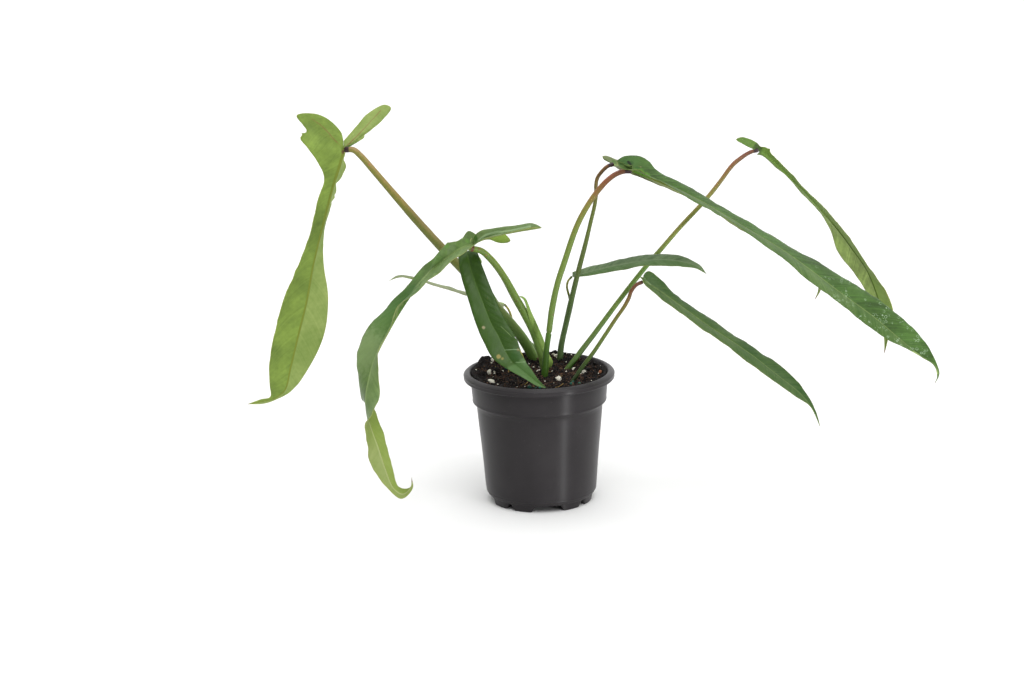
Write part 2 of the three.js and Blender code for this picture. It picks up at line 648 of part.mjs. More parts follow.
// The soil: a plug that fills the pot, with crumbs and grains joined on, and a hole for every stalk
function soil(stems) {
  const random = seeded(407);
  const inset = wall + 0.5;
  const side = [
    [0, footHeight + 0.8], [bodyBottomRadius - wall - 2, footHeight + 0.8],
    [bodyBottomRadius - inset, footHeight + 3.4], [bodyTopRadius - inset, collarBottom - 4],
    [collarBottomRadius - inset, collarBottom + 1], [collarTopRadius - inset, collarTop - 1.2],
  ];
  const positions = [];
  const index = [];
  const rings = [];
  const addRing = (radius, height) => {
    if (radius === 0) {
      positions.push(0, 0, height(0, 0));
      rings.push(Array(soilSides).fill(positions.length / 3 - 1));
      return;
    }
    const ring = [];
    for (let step = 0; step < soilSides; step += 1) {
      const angle = (step / soilSides) * 2 * Math.PI;
      const x = radius * Math.cos(angle);
      const y = radius * Math.sin(angle);
      positions.push(x, y, height(x, y));
      ring.push(positions.length / 3 - 1);
    }
    rings.push(ring);
  };
  side.forEach(([radius, z]) => addRing(radius, () => z));
  const edge = collarTopRadius - inset;
  for (let ring = 0; ring <= soilRings; ring += 1) {
    const radius = edge * (1 - ring / soilRings) ** 0.8;
    addRing(radius, (x, y) => soilHeight(x, y) + (radius > 0 ? (random() - 0.5) * surfaceNoise : 0));
  }
  for (let ring = 0; ring < rings.length - 1; ring += 1) {
    for (let step = 0; step < soilSides; step += 1) {
      const next = (step + 1) % soilSides;
      const [a, b] = [rings[ring][step], rings[ring][next]];
      const [c, d] = [rings[ring + 1][step], rings[ring + 1][next]];
      if (a !== b) index.push(a, b, d);
      if (c !== d) index.push(a, d, c);
    }
  }
  let solid = toSolid(meshGeometry(positions, index));
  for (const [x, y, radius] of perlite) {
    solid = solid.add(grain(x, y, new THREE.IcosahedronGeometry(radius), random));
  }
  for (const [x, y, radius] of prills) {
    solid = solid.add(grain(x, y, new THREE.OctahedronGeometry(radius), random));
  }
  for (let crumb = 0; crumb < crumbCount; crumb += 1) {
    const angle = random() * 2 * Math.PI;
    const reach = Math.sqrt(random()) * (edge - 5);
    const shape = new THREE.OctahedronGeometry(crumbSize * (0.7 + 0.6 * random()));
    solid = solid.add(grain(reach * Math.cos(angle), reach * Math.sin(angle), shape, random));
  }
  for (const stem of stems) {
    solid = solid.subtract(stem);
  }
  return toGeometry(solid);
}

// A grain of the given shape, sunk into the soil and turned at random
function grain(x, y, geometry, random) {
  geometry.scale(1, 0.75 + 0.3 * random(), 0.8);
  geometry.rotateZ(random() * Math.PI);
  geometry.rotateX(random() * Math.PI);
  geometry.translate(x, y, soilHeight(x, y) + grainSink);
  return toSolid(geometry);
}

// The sheath: a tube along the foot of stalk d, open at both ends
function sheathTube() {
  const { route, steps } = stalks.d;
  const { outer, bore, firstStep, lastStep } = sheath;
  const tube = toSolid(bar(buried(route), [outer, outer], steps, 0, firstStep, lastStep));
  return tube.subtract(toSolid(bar(buried(route), [bore, bore], steps, 0, firstStep - 1, lastStep + 1)));
}

// The room that the sheath takes in the soil
function sheathHole() {
  const { route, steps } = stalks.d;
  const { outer, firstStep, lastStep } = sheath;
  const hole = bar(buried(route), [outer, outer], steps, seatGap, firstStep, lastStep);
  return toSolid(hole).add(toSolid(hole.clone().translate(0, 0, -seatGap)));
}

// The room that the cataphyll's foot takes in the soil
function cataphyllHole() {
  const foot = cataphyll.midrib.slice(0, 3);
  const hole = bar(foot, [5, 5], 4);
  return toSolid(hole).add(toSolid(hole.clone().translate(0, 0, -1)));
}

const plant = new THREE.Group();
plant.add(part('pot', pot(), colours.pot, 0.5));

const stems = [];
for (const [letter, stalk] of Object.entries(stalks)) {
  const route = buried(stalk.route);
  plant.add(part(`stalk_${letter}`, bar(route, stalk.radii, stalk.steps), stalk.colour, 0.5));
  stems.push(stalkHole(stalk));
}
plant.add(part('sheath_d', toGeometry(sheathTube()), colours.greenStalk, 0.5));
stems.push(sheathHole());

for (const [letter, blade] of Object.entries(blades)) {
  plant.add(part(`blade_${letter}`, thicken(bladeSurface(blade)), blade.colour, 0.45));
}
plant.add(part('cataphyll_b', thicken(bladeSurface(cataphyll)), cataphyll.colour, 0.5));
stems.push(cataphyllHole());

plant.add(part('soil', soil(stems), colours.soil, 0.95));

export default plant;
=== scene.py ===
# The fine surfaces of a potted Philodendron joepii: blades, stalks, sheaths, soil and nursery pot.
import itertools
import math

import bmesh
import bpy
import numpy as np
from mathutils import Matrix, Vector


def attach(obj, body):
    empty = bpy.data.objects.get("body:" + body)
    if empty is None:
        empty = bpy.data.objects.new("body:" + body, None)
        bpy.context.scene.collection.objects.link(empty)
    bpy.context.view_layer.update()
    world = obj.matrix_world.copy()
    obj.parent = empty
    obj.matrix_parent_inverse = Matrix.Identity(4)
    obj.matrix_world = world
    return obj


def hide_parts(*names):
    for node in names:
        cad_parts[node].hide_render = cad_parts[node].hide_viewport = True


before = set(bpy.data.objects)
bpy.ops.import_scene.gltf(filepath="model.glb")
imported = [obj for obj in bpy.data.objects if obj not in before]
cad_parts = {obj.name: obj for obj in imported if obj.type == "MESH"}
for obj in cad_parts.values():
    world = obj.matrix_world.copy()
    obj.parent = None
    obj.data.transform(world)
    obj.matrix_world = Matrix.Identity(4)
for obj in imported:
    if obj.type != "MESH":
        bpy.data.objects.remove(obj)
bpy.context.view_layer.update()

MM = 0.001
FINE = 1.0

# The pot, in millimetres. Its section is [radius, height, corner radius], from the middle of the underside
# round to the inside.
POT_SECTION = [[0, 4.9, 0], [36.4, 4.9, 0.3], [37.4, 0, 0.3], [40.7, 0, 0.4], [41.9, 5.6, 0.3],
    [42.9, 6.4, 0.5], [43.7, 8, 0.3], [44.1, 8.6, 0.2], [44, 9.3, 0.3], [44.35, 11, 0.6], [45.1, 20, 4],
    [46.2, 35, 6], [47.4, 48, 6], [48.6, 60, 5], [49.5, 70, 4], [50.1, 77.3, 1.5], [51, 79.7, 0.7],
    [52.5, 81.4, 0.3], [53.3, 81.9, 0.25], [53.5, 82.7, 0.3], [53.3, 84, 0.5], [54.1, 93, 3],
    [54.4, 99.3, 0.4], [58.2, 99.8, 0.3], [59.3, 99.7, 0.3], [60, 100.6, 0.3], [59.8, 101.6, 0.4],
    [59.9, 102.8, 0.3], [60.15, 103.3, 0.2], [59.8, 104, 0.3], [59, 104.8, 0.5], [57.4, 105.6, 0.6],
    [55.9, 105.8, 0.4], [55, 105.3, 0.4], [54.3, 103.6, 0.6], [53, 98, 0.8], [52, 84, 1], [48.8, 78, 1],
    [48.1, 70, 2], [42.4, 10, 1], [41, 7.2, 0.6], [0, 7.2, 0]]
POT_SIDES = 288
POT_CREASE = 35
FOOT_INSIDE = 36.2
GAP_HEIGHT = 5.0
# The gaps between the feet: place in degrees within a quarter, half width at the ground and at the top
GAP_TURN = 6.5
GAPS = ((-90 + GAP_TURN, 18.8, 14.4), (-45 + GAP_TURN, 6, 1.8))
HUB_RADIUS, HUB_DEPTH = 15, 5.4
DRAIN_RADIUS, DRAIN_CIRCLE = 4, 28

# The soil, in millimetres. A mound is [x, y, height, spread]; a bump is height, cell, seed and octaves.
SOIL_MIDDLE = 100.9
SOIL_EDGE_RISE = {"front": 2.4, "back": 4.2}
SOIL_RADIUS = 53.7
SOIL_CLEAR = 51.5
SOIL_RINGS, SOIL_SIDES = 120, 440
SOIL_WALL = ((52.5, 97), (51.5, 84), (48.4, 77.5), (41.9, 10.2), (40.4, 7.5), (0.4, 7.5))
SOIL_BUMPS = ((0.7, 7, 31, 3), (0.55, 2.4, 41, 3), (0.3, 1.1, 51, 2))
MOUNDS = [[-43, 27, 4.4, 12], [-49, -5, 3.0, 13], [-3, 37, 5.6, 8], [18, 38, 3.6, 7], [-30, -8, 1.0, 12],
    [25, 22, -1.3, 6], [12.5, 46, 3.6, 3]]

# The leaves, in millimetres
BLADE_THICKNESS = 0.52
ARCH = 0.06
RIB_HEIGHT = 1.0
GROOVE_DEPTH = 0.18
PUCKER, SWELL, CURL = 0.07, 0.35, 0.5
STALK_DEPTH = 18
SHEATH_SPAN = (0.045, 0.255)
SHEATH_RADIUS = 2.15
SHEATH_ROOM = 0.75
SHEATH_WALL = 0.45
PRIMARY_PITCH = 6.5
VEIN_SLANT = 1.0
VEIN_CURVE = 0.014

# Fineness of the meshes: spacing of rows in millimetres, and counts round or across
BLADE_ROW = 1.2
COLUMNS = 16
STALK_ROW = 1.5
STALK_SIDES = 24
SHEATH_ROW = 0.7
SHEATH_SIDES = 40
SPLINE_STEPS = 30

# What the shaders of a blade need to know at each point: run along its vein, distance from the midrib and
# from the edge, share of the length, and 1 on the right half, -1 on the left
POINT_VALUES = ("vein", "off", "rim", "share", "side")

# Colours as they look in soft daylight, red, green and blue from 0 to 255
INK = {
    "plum": (46, 26, 30), "brown": (112, 84, 44), "straw": (172, 158, 88), "dust": (150, 148, 144),
    "chalk": (168, 190, 160), "bark": (150, 98, 66), "perlite": (222, 220, 206), "prill": (34, 100, 82),
}
# For each blade: deep and light tone of a face, then those of its right half where it is lit differently, as
# painted light and shade of that half, and the midrib's colour on each face
BLADE_TONES = {
    "a": {
        "upper": ((70, 104, 40), (96, 130, 62)),
        # The pale under tones are partly the underside's own colour, partly painted light shining through
        # from behind
        "under": ((78, 100, 37), (140, 165, 71), (100, 125, 52), (151, 166, 96)),
        "upper_rib": (150, 168, 96), "under_rib": (111, 124, 43),
    },
    "b": {
        "upper": ((67, 93, 46), (121, 143, 86), (51, 70, 30), (96, 126, 59)),
        "under": ((107, 125, 58), (133, 143, 87), (103, 123, 48), (130, 144, 75)),
        "upper_rib": (118, 139, 83), "under_rib": (142, 151, 99),
    },
    "c": {
        "upper": ((40, 66, 19), (51, 77, 26), (46, 73, 23), (55, 81, 28)),
        "under": ((100, 130, 56), (122, 148, 78)),
        "upper_rib": (70, 98, 35), "under_rib": (140, 156, 88),
    },
    "d": {
        "upper": ((41, 62, 24), (77, 112, 49), (52, 81, 31), (89, 111, 61)),
        "under": ((69, 93, 25), (89, 106, 43), (74, 97, 28), (94, 112, 45)),
        "upper_rib": (100, 119, 67), "under_rib": (112, 124, 50),
    },
    "e": {
        "upper": ((87, 103, 61), (117, 126, 83)),
        "under": ((98, 130, 52), (124, 150, 74)),
        "upper_rib": (128, 150, 88), "under_rib": (98, 112, 46),
    },
    "f": {
        "upper": ((66, 100, 42), (92, 124, 62)),
        # The pale under tones are partly the underside's own colour, partly painted light shining through
        # from behind
        "under": ((90, 105, 55), (160, 186, 101), (93, 120, 47), (120, 138, 76)),
        "upper_rib": (126, 146, 80), "under_rib": (61, 84, 4),
    },
    "g": {
        "upper": ((60, 83, 50), (111, 130, 94), (67, 95, 51), (92, 114, 74)),
        "under": ((104, 134, 60), (128, 152, 82)),
        "upper_rib": (117, 133, 100), "under_rib": (120, 138, 70),
    },
    "h": {
        "upper": ((38, 67, 29), (74, 96, 51), (56, 81, 42), (80, 100, 57)),
        "under": ((104, 136, 52), (130, 156, 78)),
        "upper_rib": (107, 125, 71), "under_rib": (112, 132, 58),
    },
    "i": {
        "upper": ((104, 117, 81), (131, 136, 103), (101, 115, 78), (127, 134, 100)),
        "under": ((112, 136, 70), (136, 154, 92)),
        "upper_rib": (134, 150, 98), "under_rib": (120, 134, 76),
    },
}
# For each stalk: its colours on the side that faces down, darker as painted shade, and the side that faces
# up, lighter as painted light. There is one for each share of the length in TONE_PLACES, or one for each end.
TONE_PLACES = (0.02, 0.15, 0.3, 0.45, 0.6, 0.75, 0.87, 0.96)
STALK_TONES = {
    "a": (
        ((75, 103, 42), (80, 107, 46), (87, 102, 43), (94, 100, 37), (97, 101, 38), (107, 106, 35),
         (115, 113, 42), (121, 116, 50)),
        ((89, 113, 52), (92, 111, 53), (95, 103, 51), (106, 101, 49), (117, 99, 54), (129, 106, 52),
         (137, 115, 66), (146, 120, 78)),
    ),
    "b": (
        ((111, 138, 70), (107, 138, 67), (103, 135, 60), (87, 113, 40), (86, 112, 36), (88, 109, 35),
         (86, 111, 35), (94, 120, 41)),
        ((144, 178, 92), (137, 170, 90), (132, 164, 82), (113, 137, 57), (109, 132, 50), (111, 126, 48),
         (108, 125, 46), (117, 134, 52)),
    ),
    "c": (
        ((70, 98, 46), (92, 118, 56)),
        ((80, 106, 52), (104, 128, 66)),
    ),
    "d": (
        ((80, 110, 38), (84, 111, 39), (93, 116, 46), (98, 119, 47), (97, 117, 44), (117, 114, 46),
         (115, 66, 39), (97, 53, 36)),
        ((95, 124, 50), (99, 123, 51), (106, 126, 58), (110, 127, 59), (114, 120, 54), (142, 118, 62),
         (139, 74, 54), (120, 68, 51)),
    ),
    "e": (
        ((80, 101, 62), (69, 90, 47), (65, 87, 36), (74, 89, 37), (83, 97, 35), (91, 102, 35), (99, 80, 29),
         (86, 56, 23)),
        ((101, 120, 83), (88, 106, 62), (83, 102, 47), (92, 102, 48), (102, 106, 44), (111, 106, 43),
         (126, 89, 36), (112, 69, 31)),
    ),
    "f": (
        ((57, 88, 27), (73, 101, 35), (87, 116, 39), (86, 121, 44), (122, 132, 53), (116, 122, 50),
         (117, 89, 43), (98, 55, 36)),
        ((76, 102, 41), (92, 113, 50), (105, 125, 53), (103, 126, 57), (141, 134, 66), (134, 120, 61),
         (138, 92, 58), (117, 64, 51)),
    ),
    "g": (
        ((84, 109, 38), (88, 109, 37), (91, 110, 37), (95, 111, 37), (99, 111, 36), (102, 112, 35),
         (118, 122, 43), (159, 155, 83)),
        ((96, 117, 45), (100, 118, 45), (105, 118, 45), (109, 119, 44), (114, 120, 44), (118, 120, 44),
         (134, 131, 54), (181, 166, 102)),
    ),
    "h": (
        ((27, 47, 10), (44, 66, 14), (72, 93, 29), (82, 100, 31), (95, 101, 35), (97, 91, 31), (96, 56, 25),
         (90, 50, 28)),
        ((38, 56, 18), (57, 75, 22), (86, 101, 40), (96, 105, 42), (106, 99, 44), (109, 92, 42),
         (112, 71, 39), (104, 63, 42)),
    ),
    "i": (
        ((110, 132, 50), (113, 130, 49), (116, 128, 48), (119, 126, 47), (121, 124, 45), (124, 121, 44),
         (126, 120, 43), (132, 122, 47)),
        ((120, 136, 56), (123, 135, 55), (126, 134, 54), (130, 132, 53), (133, 131, 52), (137, 130, 52),
         (139, 128, 51), (145, 133, 55)),
    ),
}

# Leaves in millimetres: midribs from the stalk to the tip, ears and edges to match, stalks from the soil up.
# A nick is [side, place among the midrib's points, half width, share cut in, lift toward the back]; a ruffle
# is the height and number of an edge's waves.
BLADES = {
    "a": {
        "arch": 0.07,
        "nicks": [["right", 0.55, 0.24, 0.5, 0], ["right", 1.86, 0.13, 0.5, 1],
            ["right", 2.3, 0.18, -0.35, -1], ["right", 2.62, 0.12, -0.45, -1], ["right", 2.85, 0.08, 0.2, 1],
            ["right", 3.4, 0.2, -0.3, 0], ["left", 5.5, 0.3, 0.03, 0], ["left", -1.55, 0.12, -0.06, 0],
            ["left", -2.3, 0.1, -0.02, 0]],
        "midrib": [[-152, 60, 275.5], [-156, 62, 262], [-162, 65, 245], [-167, 68, 228], [-173, 72, 208],
            [-181, 77, 180], [-189, 83, 145], [-197, 87, 117], [-205, 90, 88], [-211, 91, 68], [-221, 92, 61],
            [-230, 92, 59], [-242.5, 91, 57]],
        "leftEar": [[-152, 59, 283], [-153.5, 57, 290.5], [-164, 51, 303], [-175, 46, 308], [-187, 42, 307],
            [-180, 46, 294], [-185, 44, 289]],
        "leftEdge": [[-180, 46, 280.4], [-173.3, 51, 268.8], [-168.6, 60, 252.8], [-175, 63, 233.5],
            [-180.5, 65, 212], [-190, 68, 187.5], [-206, 71, 153.5], [-215, 76, 124], [-222, 81, 92],
            [-222.5, 86, 74], [-223, 90, 63], [-231, 91, 61]],
        "rightEar": [[-152, 62, 282.5], [-142, 66, 293], [-133, 71, 302], [-119, 77, 308.5], [-114, 80, 305],
            [-120.6, 77, 296.3], [-129.7, 71, 289.7], [-135, 68, 286.3], [-136, 67, 283.5],
            [-142.6, 64, 280.8], [-147.4, 62, 279.1]],
        "rightEdge": [[-150.7, 62, 274], [-151.1, 70, 260.1], [-159.5, 74, 242.5], [-165, 77, 227.5],
            [-172, 82, 204.5], [-174, 85, 180], [-171.5, 91, 147], [-176.5, 94, 114], [-191.5, 96, 84],
            [-204.5, 95, 67.5], [-220.5, 93, 59], [-229.5, 93, 56.5]],
    },
    "b": {
        "arch": 0.05, "ruffle": [0.5, 11], "neck": {"left": [-41.2, -15, 218.2], "right": [-41, 0, 216.4]},
        "nicks": [["right", 1.35, 0.25, 0.05, -2], ["right", 1.95, 0.12, -0.08, 1.5],
            ["right", 2.6, 0.3, 0.05, -3], ["right", 3.3, 0.3, -0.03, 3], ["right", 4.3, 0.3, 0.03, -3],
            ["left", 2.5, 0.3, 0.04, -2.5], ["left", 3.4, 0.3, -0.02, 2.5]],
        "midrib": [[-49.5, -8, 210.5], [-59, -15, 209.2], [-70.7, -23, 203.4], [-83, -32, 195],
            [-93, -41, 186], [-104, -52, 173], [-115, -63, 157], [-125, -74, 140], [-130, -82, 126],
            [-133, -89, 113], [-133, -94, 101], [-130, -98, 90], [-125, -101, 76], [-120, -103, 59],
            [-113.5, -105, 43], [-106.5, -106, 39], [-100.5, -106, 44.5], [-99.5, -105, 52]],
        "leftEar": [[-50, -9, 213.3], [-47.1, -9, 219.3], [-42.3, -9, 222.2], [-34.5, -10, 223.5],
            [-24.3, -12, 225.5], [-13.4, -14, 226.8], [-4.9, -16, 228.6], [0.5, -20, 228], [4.1, -24, 226.3],
            [-2.7, -27, 227.5], [-11.2, -28, 226.2], [-19.4, -27, 224.3], [-28.4, -25, 221.2],
            [-36.9, -22, 218.9], [-44, -18, 215.3]],
        "leftEdge": [[-48, -14, 212], [-54.8, -21, 208.7], [-67, -32, 202], [-80, -41, 194], [-91, -51, 186],
            [-107, -66, 176], [-113.5, -73, 161], [-123, -83, 143], [-122.5, -88, 127], [-122.5, -95, 113],
            [-127, -105, 104], [-132.5, -110, 97], [-132, -110, 80], [-130, -108, 63.5], [-117, -108, 43.5],
            [-107.5, -108, 36], [-99, -106, 43.5]],
        "rightEar": [[-47.7, -4, 212.2], [-41, 1, 214.9], [-33.1, 4, 216.1], [-24.7, 7, 215],
            [-21.8, 9, 212.1], [-20.2, 11, 208.5], [-23.1, 11, 207.1], [-31, 8, 208.5], [-35.2, 5, 211.1],
            [-40.2, 2, 214.7], [-45.7, 0, 215.7]],
        "rightEdge": [[-52.8, -1, 220.2], [-58.5, -8, 216.1], [-70.2, -16, 213.2], [-85, -27, 201],
            [-98.5, -35, 188.5], [-116, -45, 172], [-133, -54, 155], [-140, -64, 138], [-139.5, -71, 124],
            [-137, -76, 108], [-128, -81, 100], [-123, -88, 89.5], [-118, -94, 74], [-114.5, -97, 57],
            [-110, -101, 44], [-106, -104, 43], [-100.5, -105, 44.5]],
    },
    "c": {
        "arch": 0.05,
        "nicks": [["left", 5.75, 0.07, 0.12, -1], ["left", 8.85, 0.08, -0.06, 0]],
        "midrib": [[-54, 24, 191], [-55, 12, 201], [-51, 2, 186], [-44.5, -8, 168.4], [-36.7, -17.5, 149.1],
            [-31.8, -22, 140.9], [-28.2, -26, 133.3], [-25.4, -30, 128], [-21.3, -34, 122.4],
            [-15.9, -38.5, 118.4], [-9.4, -43, 114], [-1.5, -47, 107.9], [6.3, -50, 103.8]],
        "leftEar": [[-53, 25, 188], [-47, 27, 185], [-43.5, 28, 187.5]],
        "leftEdge": [[-45.5, 24, 194], [-47, 10, 201], [-41.5, 0.5, 187.4], [-33.5, -9.5, 167.9],
            [-25.8, -18.5, 152], [-21.1, -22.5, 144.8], [-17, -26, 137.9], [-15.1, -29.5, 132.7],
            [-12.9, -33.5, 127.7], [-10.5, -37.5, 122.7], [-6.1, -42, 117.3], [-0.4, -47, 109.9]],
        "rightEar": [[-56, 25, 188], [-59, 27, 184], [-61, 27, 188]],
        "rightEdge": [[-62, 23, 194], [-62, 9, 198], [-60, 0.5, 184.4], [-54.5, -9.5, 166.4],
            [-48, -18.5, 146.4], [-42.6, -24.5, 134.9], [-38.2, -29.5, 126.8], [-34.1, -33.5, 122.9],
            [-28, -37.5, 119.4], [-20.7, -42, 115.7], [-12.3, -46.5, 111.9], [-2.7, -49, 106.4]],
    },
    "d": {
        "ruffle": [0.4, 7],
        "midrib": [[76, 0, 265], [89, -3, 260], [109.1, -8, 251.4], [130, -13, 241], [158, -20, 224.4],
            [188, -27, 206.5], [209, -32, 191.6], [234, -38, 172.4], [259, -43, 154], [280, -47, 135.9],
            [296, -50, 123], [306.6, -51, 116], [308.6, -52, 108.2], [305.8, -53, 101.9]],
        "leftEar": [[76.1, 3, 268.3], [71.9, 4, 269.2], [67.3, 5, 271], [63.9, 7, 271.5], [66.1, 9, 273.2],
            [69.9, 11, 274.6], [75.5, 12, 275.1], [81.2, 12, 274.3]],
        "leftEdge": [[89, 11, 270.5], [95, 6, 264], [115, 1, 253.5], [135, -2, 242], [164, -7, 224],
            [194.5, -12, 206.5], [215.5, -16, 194], [241, -23.5, 179.5], [269, -30, 161], [290, -38, 144],
            [303, -46, 127], [308.4, -50, 115.3], [309.5, -50.5, 107.6]],
        "rightEar": [[75.6, -2, 269.3], [71.9, -3, 269.6], [67.2, -4, 271.5], [63.5, -4, 273.4],
            [63.6, -5, 272.2], [65, -6, 270], [68, -8, 268.2], [74.3, -10, 268]],
        "rightEdge": [[82, -10, 267], [87, -12, 263], [107.5, -19, 252.8], [127, -25, 241.5],
            [154.5, -32.5, 226], [181.5, -40, 207], [200.5, -45, 191.9], [224, -50, 173], [249, -51.5, 153],
            [269, -53, 138], [290, -53, 127], [305.2, -52, 115.9], [307.7, -53, 107.8]],
    },
    "e": {
        "midrib": [[62, 14, 267], [79, 19, 263.5], [105, 25, 249], [133, 30, 233], [167, 35, 210],
            [195, 38, 193], [215, 40, 178], [225.5, 41, 166], [226.5, 41, 156], [223.5, 40, 148]],
        "leftEar": [[61, 15, 268], [57, 17, 270], [53, 19, 273], [58, 21, 272.5]],
        "leftEdge": [[64.5, 21, 270], [80.5, 25, 264.5], [107, 33, 249], [135, 39, 233], [169.5, 44.5, 212],
            [199, 46.5, 194.5], [220, 46, 178], [228.5, 44, 166], [228.5, 42, 156]],
        "rightEar": [[60, 12.5, 265.5], [62, 10, 267]],
        "rightEdge": [[65, 8, 265.5], [76.5, 12.5, 259.5], [102.5, 16.5, 247.5], [131, 21, 233],
            [163.5, 25.5, 210], [192, 30, 192], [211, 34, 177], [222, 38, 166], [227, 40, 156]],
    },
    "f": {
        "ruffle": [0.4, 6],
        "nicks": [["right", 0.3, 0.12, -0.25, 0], ["right", 0.95, 0.15, -0.2, 0]],
        "midrib": [[181, 60, 266.5], [191.9, 62, 257.6], [204, 65, 245.6], [218.6, 68, 231.1], [232, 72, 215],
            [246, 75, 198], [259, 78, 180], [271, 81, 162], [280, 84, 140], [286, 86, 120],
            [288.5, 87, 102.5], [287, 87, 89]],
        "leftEar": [[181, 62, 265], [179, 64, 263]],
        "leftEdge": [[182.4, 65.5, 262.1], [191.6, 70, 255], [203.5, 74, 243.1], [216.9, 77, 228.1],
            [231, 82, 212], [241.5, 85, 194], [247.5, 87, 176], [260.5, 89, 159.5], [274, 90, 137],
            [283, 90, 116], [287, 89, 101]],
        "rightEar": [[177, 58, 268], [169, 55, 272.5], [164, 53, 276], [161.5, 53, 278], [166, 55, 279.5],
            [172, 58, 277.5], [178, 60, 274], [181.5, 61, 270.5]],
        "rightEdge": [[186.3, 58, 269.9], [192.5, 57, 262.2], [206.2, 59, 248], [221, 60, 232],
            [235.5, 63, 216.5], [249.5, 66, 199], [262.5, 69, 180.5], [274.5, 73, 161.5], [288, 78, 141.5],
            [294, 82, 120], [290, 85, 102.5]],
    },
    "g": {
        "midrib": [[28.5, 28, 175], [38.5, 26, 178], [54.5, 23, 182.5], [70, 20, 186], [86, 17, 189],
            [101.5, 14, 190], [115.5, 11, 188.5], [126.5, 9, 185], [134, 8, 179]],
        "leftEdge": [[28.5, 29.5, 178], [37.5, 29.5, 181], [53, 28, 184.5], [70, 26, 189], [88, 23, 192.5],
            [103.5, 20, 193.5], [118, 15, 191], [129, 11, 185.5]],
        "rightEdge": [[29.5, 27, 174.5], [39, 23, 176], [55, 18, 179.5], [70, 14, 183], [84, 11, 186],
            [100.5, 9, 186], [114.5, 7, 185.5], [125, 7, 184]],
    },
    "h": {
        "midrib": [[83.5, -8, 178], [92, -10, 173], [104, -14, 165], [118, -18, 155], [132, -22, 145],
            [146, -26, 136], [164, -31, 124], [187, -37, 106], [203, -41, 93], [212, -43, 81.5],
            [218.5, -45, 66.5]],
        "leftEar": [[83, -7, 180], [83.5, -5, 182.5], [87, -3, 185]],
        "leftEdge": [[90.5, -2, 183.5], [98, -4, 177], [109, -7, 166], [123, -10, 156], [136, -14, 148],
            [149.5, -18, 138.5], [169.5, -23, 125.5], [191.5, -31, 110.5], [207.5, -38, 93.5],
            [215, -42, 79.5]],
        "rightEar": [[83, -9, 181.5], [80.6, -10, 182.4], [81.6, -12, 181]],
        "rightEdge": [[84, -13, 176], [88.5, -16, 172.5], [100.5, -21, 163], [113.5, -26, 154.5],
            [126.5, -30, 144.5], [141, -34, 135], [158.5, -39, 122], [180, -43, 106], [198.5, -44, 92],
            [210.5, -44, 83.5]],
    },
    "i": {
        "midrib": [[-26.5, 54, 147.5], [-38, 56, 150], [-54, 59, 154.5], [-70.5, 62, 159], [-86.5, 65, 163.5],
            [-101, 68, 166.5], [-112.5, 70, 168], [-120, 71, 164.5]],
        "leftEdge": [[-27, 51.5, 145], [-38, 51, 149.5], [-54, 53, 154], [-70, 56, 159], [-86.5, 60, 163],
            [-100.5, 64.5, 168], [-112.5, 68, 167.5]],
        "rightEdge": [[-27, 56, 147.5], [-38.5, 61, 150], [-55, 65, 154.5], [-71, 68, 159], [-87, 70, 163],
            [-101, 72.5, 167.5], [-113, 72, 168.5]],
    },
}
